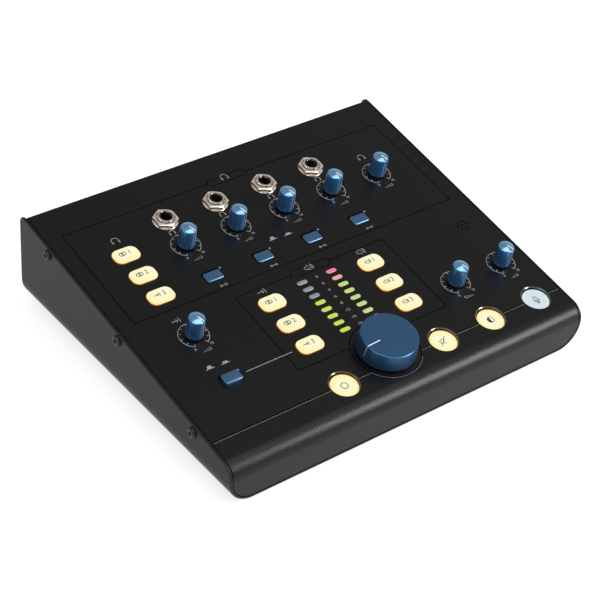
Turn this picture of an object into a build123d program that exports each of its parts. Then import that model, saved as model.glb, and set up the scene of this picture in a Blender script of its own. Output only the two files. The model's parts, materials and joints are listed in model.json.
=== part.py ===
from build123d import *
import math
import os

os.makedirs("parts", exist_ok=True)

# Desktop studio monitor controller: a bent outer tray holds a sloping top cover that
# carries the knobs, buttons, meter and headphone jacks.
# Lengths are millimetres and angles are degrees. X runs to the right, Y to the back and
# Z up. The origin is the centre of the bounding box, on the surface under the feet.
# Places on the sloping top are (x, v, n): x across from its centre line, v down the
# slope from its rear edge and n out of its surface.

# ---------------------------------------------------------------- casing sizes
panel_slope = 9.8
cover_width = 225.6
cover_depth = 185.8
rear_height = 54.6
cover_sheet = 1.5
nose_radius = 8.75
cover_edge_radius = 0.6
cover_rear_radius = 1.2
cover_flange_drop = 10.5
tray_sheet = 1.3
tray_corner_radius = 14.0
tray_overhang = 3.4
tray_rear_radius = 3.8
tray_edge_radius = 0.5
seam_gap = 0.3
foot_height = 3.0
foot_radius = 6.35
foot_taper = 0.6
foot_inset = 16.0
rear_flange_length = 10.0
rear_flange_margin = 16.0
rear_flange_screw_count = 4

# ------------------------------------------------------------ places on the top
jack_row = 34.3
cue_knob_row = 53.8
cue_switch_row = 78.85
cue_columns_start = -49.3
cue_column_pitch = 32.0
cue_channels = 4
lit_row_pitch = 16.15
left_column_inset = 31.4
main_source_column = -33.2
speaker_column = 31.35
talk_column_inset = 16.4
talk_column_pitch = 32.35
button_row_setback = 18.75
button_row_to_lit_rows = 28.9
main_knob_setback = 27.45
meter_left_column = -10.4
meter_right_column = 8.6
meter_pitch = 5.27
meter_rows = 8
meter_lead = 4.7
unlit_row_count = 3
red_row_count = 2

# --------------------------------------------------------------- controls sizes
knob_radius = 4.85
knob_top_radius = 4.35
knob_height = 12.2
knob_crown = 1.0
knob_lift = 0.8
knob_skirt_radius = 0.3
pointer_groove_width = 0.7
pointer_groove_depth = 0.15
shaft_radius = 3.0
shaft_top = 8.5
shaft_bottom = -10.0
main_knob_radius = 16.2
main_knob_top_radius = 15.1
main_knob_height = 10.1
main_knob_edge_radius = 0.6
main_knob_skirt_wall = 2.2
main_knob_skirt_depth = 4.5
main_shaft_top = 7.5
lit_width = 14.7
lit_length = 9.7
lit_corner_radius = 3.8
lit_top = 0.8
lit_edge_radius = 0.6
lit_flange_margin = 0.9
round_button_radius = 7.45
round_button_top = -1.1
round_button_edge_radius = 0.4
switch_cap_width = 10.0
switch_cap_length = 6.3
switch_cap_corner_radius = 1.0
switch_cap_top = 0.7
switch_cap_edge_radius = 0.4
cap_skirt = 3.5
stem_width = 3.6
button_travel = 1.0
latch_travel = 1.6
meter_pill_width = 6.4
meter_pill_length = 2.6
meter_pill_top = 0.1
microphone_radius = 4.85
microphone_boot_wall = 0.9
microphone_capsule_depth = 6.5
microphone_hole_radius = 0.6
microphone_ring_radius = 3.05
microphone_ring_holes = 8
groove_width = 0.5
groove_depth = 0.25
knob_groove_gap = 2.25
cue_frame_margin = 9.4
cue_frame_back = 14.0
cue_frame_front = 10.2
main_frame_half_width = 48.2
main_frame_back = 11.5
main_frame_front = 11.4
banner_width = 26.0
banner_length = 4.7
banner_point = 2.0

# ------------------------------------------------------------ inside and rear sizes
board_thickness = 1.6
board_drop = 12.0
board_rear_gap = 8.1
board_front_setback = 12.0
control_board_side_gap = 10.8
standoff_flats = 5.5
standoff_row_offset = 5.5
standoff_bore_depth = 4.0
standoff_inset = 6.0
floor_standoff_height = 5.0
floor_standoff_inset = 8.0
connector_board_side_gap = 10.3
connector_board_length = 58.0
connector_board_gap = 1.0
screw_radius = 1.5
screw_head_radius = 2.85
screw_head_height = 1.65
screw_socket_flats = 2.0
screw_socket_depth = 1.0
side_screw_rows = (25.4, 91.4, 157.4)
side_screw_drop = 4.2
side_screw_length = 6.0
bottom_screw_length = 6.0
board_screw_length = 5.0
pot_width = 9.5
pot_length = 11.0
pot_height = 6.5
pot_bushing_radius = 3.9
main_pot_width = 17.0
main_pot_height = 8.0
main_pot_bushing_radius = 4.5
switch_body_width = 12.0
switch_body_length = 9.0
switch_body_height = 5.4
latch_body_width = 8.0
latch_body_height = 7.0
stem_reach = 4.0
jack_bore_radius = 3.2
jack_bushing_radius = 4.75
jack_nose = 3.9
jack_body_width = 13.0
jack_body_length = 13.4
jack_body_depth = 26.0
jack_floor = 1.0
jack_washer_radius = 6.9
jack_washer_height = 0.7
jack_nut_flats = 12.2
jack_nut_height = 2.2
headphone_board_margin = 6.0
headphone_board_lead = 8.0
rear_jack_count = 12
rear_jack_pitch = 15.6
rear_jack_width = 14.6
rear_jack_height = 11.0
rear_jack_depth = 20.0
rear_jack_nose = 4.2
upper_row_height = 36.0
rca_radius = 4.15
rca_length = 9.0
rca_cavity_radius = 3.4
rca_contact_radius = 2.2
rca_contact_bore = 1.65
rca_cavity_depth = 8.0
rca_collar_radius = 6.0
rca_collar_height = 1.8
rca_body_radius = 5.0
rca_body_depth = 11.0
rca_count = 3
rca_inset = 24.8
rca_pitch = 16.0
inlet_spacing = 24.0
inlet_nose_radius = 5.4
inlet_nose = 2.0
inlet_bore_radius = 2.9
inlet_pin_radius = 1.0
inlet_bore_depth = 9.5
inlet_collar_radius = 7.0
inlet_collar_height = 1.5
inlet_body_depth = 13.0
power_inset = 26.8
rocker_height = 16.0
rocker_width = 9.8
rocker_thickness = 4.5
rocker_tilt = 12.0
rocker_pin_radius = 0.8
rocker_pin_length = 1.2
power_bezel_margin = 3.0
power_bezel_thickness = 1.5
power_body_wall = 1.6
power_body_depth = 15.0
power_pocket_depth = 9.0
ribbon_width = 14.0
ribbon_thickness = 1.0
header_width = 17.0
header_length = 6.0
header_height = 4.0
ribbon_inset = 38.8
ribbon_board_row = 64.0
ribbon_lean = 6.0
link_column = -33.3

# ------------------------------------------------------------------- clearances
button_clearance = 0.35
switch_cap_clearance = 0.8
stem_clearance = 0.35
running_clearance = 0.05
hole_clearance = 0.25
seat_clearance = 0.1
moving_gap = 0.4

# ------------------------------------------------------------- derived places
slope = math.radians(panel_slope)
rear_reach = max(rca_length, tray_overhang)
front_y = -(cover_depth + rear_reach) / 2
rear_y = front_y + cover_depth
tray_rear_y = rear_y + tray_overhang
under_z = foot_height
floor_z = under_z + tray_sheet
seam_z = floor_z + seam_gap
top_z = under_z + rear_height
panel_length = cover_depth / math.cos(slope)
tray_width = cover_width + 2 * (seam_gap + tray_sheet)
half_width = cover_width / 2
control_board_width = cover_width - 2 * control_board_side_gap
connector_board_width = cover_width - 2 * connector_board_side_gap
rear_flange_width = cover_width - 2 * rear_flange_margin

button_row = panel_length - button_row_setback
main_knob_row = panel_length - main_knob_setback
lit_rows = [button_row - button_row_to_lit_rows - i * lit_row_pitch for i in (2, 1, 0)]
cue_lit_rows = [cue_switch_row - i * lit_row_pitch for i in (2, 1, 0)]
cue_columns = [cue_columns_start + i * cue_column_pitch for i in range(cue_channels + 1)]
left_column = -half_width + left_column_inset
ribbon_column = -half_width + ribbon_inset
talk_column = half_width - talk_column_inset
dim_column = talk_column - talk_column_pitch
microphone_row = lit_rows[0]
meter_start = lit_rows[0] - meter_lead
board_front_row = panel_length - board_front_setback
board_rear_row = cue_knob_row - board_rear_gap
board_top = -board_drop
board_bottom = board_top - board_thickness
connector_board_z = floor_z + floor_standoff_height
rear_jack_z = connector_board_z + board_thickness + rear_jack_height / 2
upper_row_z = under_z + upper_row_height
clear_hole_radius = screw_radius + hole_clearance
rca_columns = [-half_width + rca_inset + i * rca_pitch for i in range(rca_count)]
power_column = half_width - power_inset
inlet_column = power_column - inlet_spacing
standoff_outer_column = control_board_width / 2 - standoff_inset

panel = Plane(
    origin=(0, rear_y, top_z),
    x_dir=(1, 0, 0),
    z_dir=(0, -math.sin(slope), math.cos(slope)),
)


# ------------------------------------------------------------------ small helpers
def on_panel(x, v, n=0.0):
    """Place on the sloping top, with its local Z out of the surface."""
    return panel.location * Location((x, -v, n))


def on_rear(x, z):
    """Place on the rear panel's outer face, with local Z to the back and local Y up."""
    return Plane(origin=(x, rear_y, z), x_dir=(-1, 0, 0), z_dir=(0, 1, 0)).location


def under_line(drop, y):
    """Height, at depth y, of the line that lies a given drop below the sloping top."""
    return top_z - drop / math.cos(slope) - (rear_y - y) * math.tan(slope)


def slab(sketch, bottom, top):
    """Upright solid on a sketch, between two heights."""
    return extrude(Pos(0, 0, bottom) * sketch, top - bottom)


def post(radius, bottom, top):
    """Upright round solid between two heights."""
    return slab(Circle(radius), bottom, top)


def block(width, length, bottom, top):
    """Upright rectangular solid between two heights."""
    return slab(Rectangle(width, length), bottom, top)


def tapered(foot_radius, top_radius, bottom, top):
    """Upright round solid that narrows from its foot to its top."""
    outline = Polyline((0, bottom), (foot_radius, bottom), (top_radius, top), (0, top), close=True)
    return revolve(Plane.XZ * make_face(outline), Axis.Z)


def hexagon(flats, bottom, top):
    """Upright hexagonal solid with its flats facing left and right."""
    return slab(Rot(0, 0, 30) * RegularPolygon(flats / 2, 6, major_radius=False), bottom, top)


def nearest(items, point):
    """The vertices closest to a point, as a list of one."""
    return items.sort_by_distance(point)[:1]


def side_shape(points, width, rounds):
    """Solid with an outline in the Y-Z plane, centred on X; rounds lists (point, radius)."""
    outline = make_face(Polyline(*points, close=True))
    for point, radius in rounds:
        outline = fillet(nearest(outline.vertices(), (point[0], point[1], 0)), radius)
    across = Plane(origin=(-width / 2, 0, 0), x_dir=(0, 1, 0), z_dir=(1, 0, 0))
    return extrude(across * outline, width)


def tub_shape(width, bottom, top, radius, y_from, y_to):
    """Solid along Y whose lower long edges are rounded."""
    outline = Pos(0, (bottom + top) / 2) * Rectangle(width, top - bottom)
    outline = fillet(outline.vertices().group_by(Axis.Y)[0], radius)
    across = Plane(origin=(0, y_to, 0), x_dir=(1, 0, 0), z_dir=(0, -1, 0))
    return extrude(across * outline, y_to - y_from)


def screw(length):
    """Button-head socket screw that points down, with the underside of its head at zero."""
    head = post(screw_head_radius, 0, screw_head_height)
    head = fillet(head.edges().group_by(Axis.Z)[-1], screw_head_height * 0.75)
    socket = hexagon(screw_socket_flats, screw_head_height - screw_socket_depth, screw_head_height + 1)
    return head + post(screw_radius, -length, 0) - socket


def standoff(height):
    """Hexagonal threaded spacer with its blind thread at the bottom end."""
    bore = post(screw_radius + running_clearance, -1, min(standoff_bore_depth, height - 0.5))
    return hexagon(standoff_flats, 0, height) - bore


def jack_washer():
    """Flat washer under a jack's nut."""
    washer = post(jack_washer_radius, 0, jack_washer_height)
    washer = chamfer(washer.edges().group_by(Axis.Z)[-1], 0.15)
    return washer - post(jack_bushing_radius + running_clearance, -1, jack_washer_height + 1)


def jack_nut():
    """Hexagonal nut, seated on its washer, with its upper corners turned off round."""
    corner_radius = jack_nut_flats / math.sqrt(3)
    turned = post(corner_radius, 0, jack_nut_height)
    turned = chamfer(turned.edges().group_by(Axis.Z)[-1], 0.7)
    hole = post(jack_bushing_radius + running_clearance, -1, jack_nut_height + 1)
    return Pos(0, 0, jack_washer_height) * ((hexagon(jack_nut_flats, 0, jack_nut_height) & turned) - hole)


def save(name, *solids):
    """Write one named piece, or a group of like pieces."""
    piece = solids[0] if len(solids) == 1 else Compound(children=list(solids))
    export_step(piece, f"parts/{name}.step")


# --------------------------------------------------------------- where controls sit
small_knobs = {f"cue_knob_{i + 1}": (cue_columns[i], cue_knob_row) for i in range(cue_channels)}
small_knobs["cue_output_knob"] = (cue_columns[cue_channels], cue_knob_row)
small_knobs["aux_level_knob"] = (left_column, lit_rows[0])
small_knobs["talk_attenuation_knob"] = (dim_column, lit_rows[2])
small_knobs["talk_level_knob"] = (talk_column, lit_rows[2])

lit_buttons = {}
for i in range(3):
    lit_buttons[f"cue_source_button_{i + 1}"] = (left_column, cue_lit_rows[i])
    lit_buttons[f"main_source_button_{i + 1}"] = (main_source_column, lit_rows[i])
    lit_buttons[f"speaker_button_{i + 1}"] = (speaker_column, lit_rows[i])

round_buttons = {
    "mono_button": (main_source_column, button_row),
    "mute_button": (speaker_column, button_row),
    "dim_button": (dim_column, button_row),
    "talk_button": (talk_column, button_row),
}

# The cue switches are latched in, and the aux switch stands out by its whole travel.
latch_buttons = {f"cue_switch_button_{i + 1}": (cue_columns[i], cue_switch_row, 0.0) for i in range(cue_channels)}
latch_buttons["aux_switch_button"] = (left_column, lit_rows[2], latch_travel)

headphone_places = [(cue_columns[i], jack_row) for i in range(cue_channels)]
rear_jack_places = [((i - (rear_jack_count - 1) / 2) * rear_jack_pitch, rear_jack_z) for i in range(rear_jack_count)]

side_standoff_column = (dim_column + talk_column) / 2
standoff_places = [
    (standoff_outer_column, cue_knob_row + standoff_row_offset),
    (-standoff_outer_column, cue_knob_row + standoff_row_offset),
    (side_standoff_column, lit_rows[1]),
    (left_column, lit_rows[1]),
    (side_standoff_column, button_row),
    (left_column, button_row),
]
floor_standoff_places = [
    (x, y)
    for x in (-connector_board_width / 2 + floor_standoff_inset, connector_board_width / 2 - floor_standoff_inset)
    for y in (
        rear_y - cover_sheet - connector_board_gap - rear_jack_depth - floor_standoff_inset,
        rear_y - cover_sheet - connector_board_gap - connector_board_length + floor_standoff_inset,
    )
]
rear_flange_screw_places = [
    (
        (i - (rear_flange_screw_count - 1) / 2) * rear_flange_width / rear_flange_screw_count,
        rear_y - cover_sheet - rear_flange_length / 2,
    )
    for i in range(rear_flange_screw_count)
]


# ------------------------------------------------------------------------ top cover
def groove(start, end):
    """Cutter for one straight engraved line between two places on the top."""
    length = math.dist(start, end) + groove_width
    turn = math.degrees(math.atan2(-(end[1] - start[1]), end[0] - start[0]))
    middle = on_panel((start[0] + end[0]) / 2, (start[1] + end[1]) / 2)
    return middle * Rot(0, 0, turn) * block(length, groove_width, -groove_depth, 1)


def banner(row):
    """Corners of the long hexagon that interrupts a frame's rear line."""
    half = banner_width / 2
    rise = banner_length / 2
    return [
        (-half, row),
        (-half + banner_point, row - rise),
        (half - banner_point, row - rise),
        (half, row),
        (half - banner_point, row + rise),
        (-half + banner_point, row + rise),
    ]


def frame_lines(half, back, front, front_gap=0.0):
    """Engraved frame around a group of controls, with its banner; front_gap is half the break in its front line."""
    corners = banner(back)
    lines = [(corners[i], corners[(i + 1) % 6]) for i in range(6)]
    lines.append(((-half, back), corners[0]))
    lines.append((corners[3], (half, back)))
    lines.append(((-half, back), (-half, front)))
    lines.append(((half, back), (half, front)))
    lines.append(((-half, front), (-front_gap, front)))
    lines.append(((front_gap, front), (half, front)))
    return [groove(start, end) for start, end in lines]


def cover_openings():
    """Every hole that goes through the sloping top."""
    through = (-2 * cover_sheet - 1, 1)
    cuts = []
    for x, v in headphone_places:
        cuts.append(on_panel(x, v) * post(jack_bushing_radius + seat_clearance, *through))
    for x, v in small_knobs.values():
        cuts.append(on_panel(x, v) * post(shaft_radius + moving_gap, *through))
    cuts.append(on_panel(0, main_knob_row) * post(shaft_radius + moving_gap, *through))
    lit_hole = RectangleRounded(
        lit_width + 2 * button_clearance,
        lit_length + 2 * button_clearance,
        lit_corner_radius + button_clearance,
    )
    for x, v in lit_buttons.values():
        cuts.append(on_panel(x, v) * slab(lit_hole, *through))
    for x, v in round_buttons.values():
        cuts.append(on_panel(x, v) * post(bezel_radius + seat_clearance, *through))
    cap_hole = RectangleRounded(
        switch_cap_width + 2 * switch_cap_clearance,
        switch_cap_length + 2 * switch_cap_clearance,
        switch_cap_corner_radius + switch_cap_clearance,
    )
    for x, v, lift in latch_buttons.values():
        cuts.append(on_panel(x, v) * slab(cap_hole, *through))
    pill = SlotOverall(meter_pill_width + 2 * seat_clearance, meter_pill_length + 2 * seat_clearance)
    for x, v in meter_left + meter_right:
        cuts.append(on_panel(x, v) * slab(pill, *through))
    cuts.append(on_panel(talk_column, microphone_row) * post(microphone_hole_radius, *through))
    for spot in PolarLocations(microphone_ring_radius, microphone_ring_holes):
        cuts.append(on_panel(talk_column, microphone_row) * spot * post(microphone_hole_radius, *through))
    return cuts


def cover_grooves():
    """Engraved lines on the sloping top."""
    cue_half = half_width - cue_frame_margin
    cuts = frame_lines(cue_half, jack_row - cue_frame_back, cue_switch_row + cue_frame_front)
    ring_radius = main_knob_radius + knob_groove_gap
    front_line = lit_rows[2] + main_frame_front
    front_gap = math.sqrt(max(0, ring_radius**2 - (front_line - main_knob_row) ** 2))
    cuts += frame_lines(main_frame_half_width, lit_rows[0] - main_frame_back, front_line, front_gap)
    ring_place = on_panel(0, main_knob_row)
    reach = math.sqrt(ring_radius**2 - (button_row - main_knob_row) ** 2)
    cuts.append(groove((-half_width, button_row), (-reach, button_row)))
    cuts.append(groove((reach, button_row), (half_width, button_row)))
    ring = Circle(ring_radius + groove_width / 2) - Circle(ring_radius - groove_width / 2)
    cuts.append(ring_place * slab(ring, -groove_depth, 1))
    return cuts


def top_cover():
    """Folded sheet: sloping top, rounded nose, front flap and two side flanges."""
    corner_radius = tray_corner_radius - tray_sheet - seam_gap
    front_corner = (front_y, under_line(0, front_y))
    rear_corner = (rear_y, top_z)
    outline = [(front_y, seam_z), front_corner, rear_corner, (rear_y, seam_z)]
    outer = side_shape(outline, cover_width, [(front_corner, nose_radius), (rear_corner, cover_rear_radius)])
    outer = outer & tub_shape(cover_width, seam_z, top_z + 10, corner_radius, front_y - 1, rear_y + 1)
    rim = [e for e in outer.edges() if e.center().Y < rear_y - 1 and e.bounding_box().max.Z > seam_z + 1]
    rim = [e for e in rim if abs(e.center().X) > half_width - corner_radius and abs(e.tangent_at(0.5).X) < 0.99]
    rim = [e for e in rim if e.bounding_box().size.X < 0.01]
    outer = fillet(rim, cover_edge_radius)
    inner_front = front_y + cover_sheet
    inner_corner = (inner_front, under_line(cover_sheet, inner_front))
    hollow = [
        (inner_front, under_z - 1),
        inner_corner,
        (rear_y + 1, under_line(cover_sheet, rear_y + 1)),
        (rear_y + 1, under_z - 1),
    ]
    inner = side_shape(hollow, cover_width - 2 * cover_sheet, [(inner_corner, nose_radius - cover_sheet)])
    below = [
        (inner_front, under_z - 1),
        (inner_front, under_line(cover_flange_drop, inner_front)),
        (rear_y + 1, under_line(cover_flange_drop, rear_y + 1)),
        (rear_y + 1, under_z - 1),
    ]
    sheet = outer - inner - side_shape(below, cover_width + 2, [])
    sheet = sheet - cover_openings() - cover_grooves()
    return sheet - side_screw_holes(screw_radius + running_clearance)


def side_screw_holes(radius):
    """Holes across both side walls at the side screws."""
    return [
        Pos(0, place.Y, place.Z) * Rot(0, 90, 0) * Cylinder(radius, tray_width + 10)
        for place in side_screw_centres
    ]


side_screw_centres = [on_panel(0, v, -side_screw_drop).position for v in side_screw_rows]
bezel_radius = round_button_radius + button_clearance + 0.5
meter_left = [(meter_left_column, meter_start + i * meter_pitch) for i in range(meter_rows)]
meter_right = [(meter_right_column, meter_start + i * meter_pitch) for i in range(meter_rows)]
save("top_cover", top_cover())


# ----------------------------------------------------------------------- outer tray
def outer_tray():
    """Bent sheet that wraps the bottom and both sides, with rounded lower long edges."""
    front_corner = (front_y, under_line(0, front_y))
    rear_corner = (tray_rear_y, under_line(0, tray_rear_y))
    outline = [(front_y, under_z), front_corner, rear_corner, (tray_rear_y, under_z)]
    outer = side_shape(outline, tray_width, [(front_corner, nose_radius), (rear_corner, tray_rear_radius)])
    tall = top_z + 20
    outer = outer & tub_shape(tray_width, under_z, tall, tray_corner_radius, front_y - 1, tray_rear_y + 1)
    rim = [e for e in outer.edges() if e.bounding_box().size.X < 0.01]
    rim = [e for e in rim if e.bounding_box().max.Z > under_z + tray_corner_radius + 1]
    outer = fillet(rim, tray_edge_radius)
    inner_width = tray_width - 2 * tray_sheet
    inner_radius = tray_corner_radius - tray_sheet
    inner = tub_shape(inner_width, floor_z, tall, inner_radius, front_y - 2, tray_rear_y + 2)
    holes = side_screw_holes(clear_hole_radius)
    for x, y in rear_flange_screw_places:
        holes.append(Pos(x, y, 0) * post(clear_hole_radius, 0, floor_z + 1))
    return outer - inner - holes


save("outer_tray", outer_tray())


# ----------------------------------------------------------------------- rear panel
def rear_panel():
    """Flat plate behind the connectors, with a foot flange that is screwed to the tray."""
    top = under_line(cover_sheet, rear_y - cover_sheet) - seat_clearance
    radius = tray_corner_radius - tray_sheet - seam_gap
    plate = tub_shape(cover_width, floor_z, top, radius, rear_y - cover_sheet, rear_y)
    notch_width = cover_sheet + seam_gap
    notch_drop = cover_flange_drop / math.cos(slope) + cover_sheet * math.tan(slope) + seam_gap
    notches = [
        Pos(side * (half_width - notch_width / 2), rear_y, top_z - notch_drop / 2)
        * Box(notch_width, 4 * cover_sheet, notch_drop)
        for side in (-1, 1)
    ]
    flange = Pos(0, rear_y - (cover_sheet + rear_flange_length) / 2, floor_z) * block(
        rear_flange_width, cover_sheet + rear_flange_length, 0, cover_sheet
    )
    holes = []
    for x, y in rear_flange_screw_places:
        holes.append(Pos(x, y, 0) * post(screw_radius + running_clearance, 0, floor_z + 3 * cover_sheet))
    for x, z in rear_jack_places:
        holes.append(on_rear(x, z) * post(jack_bushing_radius + seat_clearance, -2 * cover_sheet, 1))
    for x in rca_columns:
        holes.append(on_rear(x, upper_row_z) * post(rca_body_radius + seat_clearance, -2 * cover_sheet, 1))
    holes.append(on_rear(inlet_column, upper_row_z) * post(inlet_nose_radius + seat_clearance, -2 * cover_sheet, 1))
    window = (power_body_width + 2 * seat_clearance, power_body_height + 2 * seat_clearance)
    holes.append(on_rear(power_column, upper_row_z) * block(*window, -2 * cover_sheet, 1))
    return plate - notches + flange - holes


rocker_gap = moving_gap + 0.1
power_body_width = rocker_width + 2 * (rocker_gap + power_body_wall)
power_body_height = rocker_height + 2 * (rocker_gap + power_body_wall)
save("rear_panel", rear_panel())


# ------------------------------------------------------------------ screws and feet
def side_screws():
    """Button-head screws that hold the tray's walls to the cover's flanges."""
    out = []
    for side in (-1, 1):
        for place in side_screw_centres:
            out.append(Pos(side * tray_width / 2, place.Y, place.Z) * Rot(0, side * 90, 0) * screw(side_screw_length))
    return out


def foot():
    """Tapered round rubber foot, wider where it is stuck on."""
    return Cone(
        foot_radius - foot_taper,
        foot_radius,
        foot_height,
        align=(Align.CENTER, Align.CENTER, Align.MIN),
    )


foot_x = tray_width / 2 - tray_corner_radius - foot_radius - 1
foot_places = [(side * foot_x, y) for side in (-1, 1) for y in (front_y + foot_inset, rear_y - foot_inset)]
save("side_screws", *side_screws())
save(
    "bottom_screws",
    *[Pos(x, y, under_z) * Rot(180, 0, 0) * screw(bottom_screw_length) for x, y in rear_flange_screw_places],
)
save("rubber_feet", *[Pos(x, y, 0) * foot() for x, y in foot_places])


# -------------------------------------------------------------------- circuit boards
def control_board():
    """Board under the sloping top that carries the controls and the meter."""
    length = board_front_row - board_rear_row
    board = on_panel(0, (board_front_row + board_rear_row) / 2) * block(
        control_board_width, length, board_bottom, board_top
    )
    holes = [on_panel(x, v) * post(clear_hole_radius, board_bottom - 1, board_top + 1) for x, v in standoff_places]
    return board - holes


headphone_depth = cover_sheet + jack_body_depth
headphone_board_left = cue_columns[0] - jack_body_width / 2 - headphone_board_margin
headphone_board_right = cue_columns[cue_channels - 1] + jack_body_width / 2 + headphone_board_margin
headphone_board_rear = jack_row - jack_body_length / 2
headphone_board_front = jack_row + jack_body_length / 2 + headphone_board_lead


def headphone_board():
    """Narrow board under the headphone jacks."""
    middle = on_panel(
        (headphone_board_left + headphone_board_right) / 2, (headphone_board_rear + headphone_board_front) / 2
    )
    return middle * block(
        headphone_board_right - headphone_board_left,
        headphone_board_front - headphone_board_rear,
        -headphone_depth - board_thickness,
        -headphone_depth,
    )


def connector_board():
    """Level board on the tray's floor that carries the rear jacks."""
    rear_edge = rear_y - cover_sheet - connector_board_gap
    board = Pos(0, rear_edge - connector_board_length / 2, connector_board_z) * block(
        connector_board_width, connector_board_length, 0, board_thickness
    )
    holes = [
        Pos(x, y, connector_board_z) * post(clear_hole_radius, -1, board_thickness + 1)
        for x, y in floor_standoff_places
    ]
    return board - holes


save("control_board", control_board())
save("headphone_board", headphone_board())
save("connector_board", connector_board())
save(
    "panel_standoffs",
    *[on_panel(x, v, board_top) * standoff(board_drop - cover_sheet) for x, v in standoff_places],
)
save(
    "floor_standoffs",
    *[
        Pos(x, y, connector_board_z) * Rot(180, 0, 0) * standoff(floor_standoff_height)
        for x, y in floor_standoff_places
    ],
)
save(
    "board_screws",
    *[on_panel(x, v, board_bottom) * Rot(180, 0, 0) * screw(board_screw_length) for x, v in standoff_places],
    *[Pos(x, y, connector_board_z + board_thickness) * screw(board_screw_length) for x, y in floor_standoff_places],
)


# ------------------------------------------------------------------- headphone jacks
def headphone_jack():
    """Upright quarter-inch jack: moulded body with a threaded nose through the top."""
    body = block(jack_body_width, jack_body_length, -headphone_depth, -cover_sheet)
    body = chamfer(body.edges().filter_by(Axis.Z), 1.0)
    nose = post(jack_bushing_radius, -cover_sheet, jack_nose)
    nose = chamfer(nose.edges().group_by(Axis.Z)[-1], 0.4)
    return body + nose - post(jack_bore_radius, -headphone_depth + jack_floor, jack_nose + 1)


jack_mouths = [on_panel(x, v) for x, v in headphone_places] + [on_rear(x, z) for x, z in rear_jack_places]
save("headphone_jacks", *[on_panel(x, v) * headphone_jack() for x, v in headphone_places])
save("jack_washers", *[mouth * jack_washer() for mouth in jack_mouths])
save("jack_nuts", *[mouth * jack_nut() for mouth in jack_mouths])


# ------------------------------------------------------- potentiometers and switches
def potentiometer(width, length, height, bushing_radius):
    """Board-mounted potentiometer with a bore for its shaft."""
    body = block(width, length, board_top, board_top + height)
    bushing = post(bushing_radius, board_top + height, -cover_sheet - moving_gap)
    bore = post(shaft_radius + running_clearance, shaft_bottom - moving_gap, 0)
    return body + bushing - bore


def push_switch(width, length, height, reach):
    """Board-mounted push switch with a square well for a button's stem."""
    top = board_top + height
    well = stem_width + 2 * stem_clearance
    return block(width, length, board_top, top) - block(well, well, top - reach, top + 1)


switch_top = board_top + switch_body_height
latch_top = board_top + latch_body_height
stem_bottom = switch_top - stem_reach + moving_gap + button_travel
latch_stem_bottom = latch_top - stem_reach + moving_gap
save(
    "small_potentiometers",
    *[on_panel(x, v) * potentiometer(pot_width, pot_length, pot_height, pot_bushing_radius)
      for x, v in small_knobs.values()],
)
save(
    "main_potentiometer",
    on_panel(0, main_knob_row)
    * potentiometer(main_pot_width, main_pot_width, main_pot_height, main_pot_bushing_radius),
)
save(
    "square_switches",
    *[on_panel(x, v) * push_switch(switch_body_width, switch_body_length, switch_body_height, stem_reach)
      for x, v in lit_buttons.values()],
)
save(
    "round_switches",
    *[on_panel(x, v) * push_switch(switch_body_width, switch_body_width, switch_body_height, stem_reach)
      for x, v in round_buttons.values()],
)
save(
    "latching_switches",
    *[on_panel(x, v) * push_switch(latch_body_width, latch_body_width, latch_body_height, stem_reach)
      for x, v, lift in latch_buttons.values()],
)


# ---------------------------------------------------------------------------- knobs
def small_knob():
    """Tall, slightly tapered knob with a domed top and a pointer groove, at its clockwise stop."""
    dome_radius = (knob_top_radius**2 + knob_crown**2) / (2 * knob_crown)
    dome = Pos(0, 0, knob_height + knob_crown - dome_radius) * Sphere(dome_radius)
    crown = post(knob_top_radius, knob_height - knob_crown, knob_height + knob_crown) & dome
    cap = tapered(knob_radius, knob_top_radius, knob_lift, knob_height) + crown
    cap = fillet(cap.edges().group_by(Axis.Z)[0], knob_skirt_radius)
    cap = cap - post(shaft_radius, 0, shaft_top)
    mark = Pos(0, knob_top_radius / 2, knob_height + knob_crown - pointer_groove_depth) * Box(
        pointer_groove_width, knob_top_radius + 1, 2 * knob_crown + 1, align=(Align.CENTER, Align.CENTER, Align.MIN)
    )
    return cap - Rot(0, 0, -knob_stop_angle) * mark


knob_stop_angle = 150.0
shaft = post(shaft_radius, shaft_bottom, shaft_top)
for name, (x, v) in small_knobs.items():
    save(name, on_panel(x, v) * small_knob(), on_panel(x, v) * shaft)


def main_knob():
    """Broad, slightly tapered knob, hollow underneath around its hub."""
    knob = tapered(main_knob_radius, main_knob_top_radius, knob_lift, main_knob_height)
    knob = fillet(knob.edges().filter_by(GeomType.CIRCLE), main_knob_edge_radius)
    ring = Circle(main_knob_radius - main_knob_skirt_wall) - Circle(shaft_radius + main_knob_skirt_wall)
    knob = knob - slab(ring, 0, knob_lift + main_knob_skirt_depth)
    return knob - post(shaft_radius, 0, main_shaft_top)


main_shaft = post(shaft_radius, shaft_bottom, main_shaft_top)
save("main_knob", on_panel(0, main_knob_row) * main_knob(), on_panel(0, main_knob_row) * main_shaft)


# -------------------------------------------------------------------------- buttons
def lit_button():
    """Translucent cap with a retaining flange under the cover and a stem."""
    cap = slab(RectangleRounded(lit_width, lit_length, lit_corner_radius), -cap_skirt, lit_top)
    cap = fillet(cap.edges().group_by(Axis.Z)[-1], lit_edge_radius)
    flange = slab(
        RectangleRounded(
            lit_width + 2 * lit_flange_margin, lit_length + 2 * lit_flange_margin, lit_corner_radius
        ),
        -cap_skirt,
        -cover_sheet - moving_gap,
    )
    return cap + flange + block(stem_width, stem_width, stem_bottom, -cap_skirt)


def round_button():
    """Translucent disc, set below the surface, with a stem."""
    disc = post(round_button_radius, -cap_skirt, round_button_top)
    disc = fillet(disc.edges().group_by(Axis.Z)[-1], round_button_edge_radius)
    return disc + block(stem_width, stem_width, stem_bottom, -cap_skirt)


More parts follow.
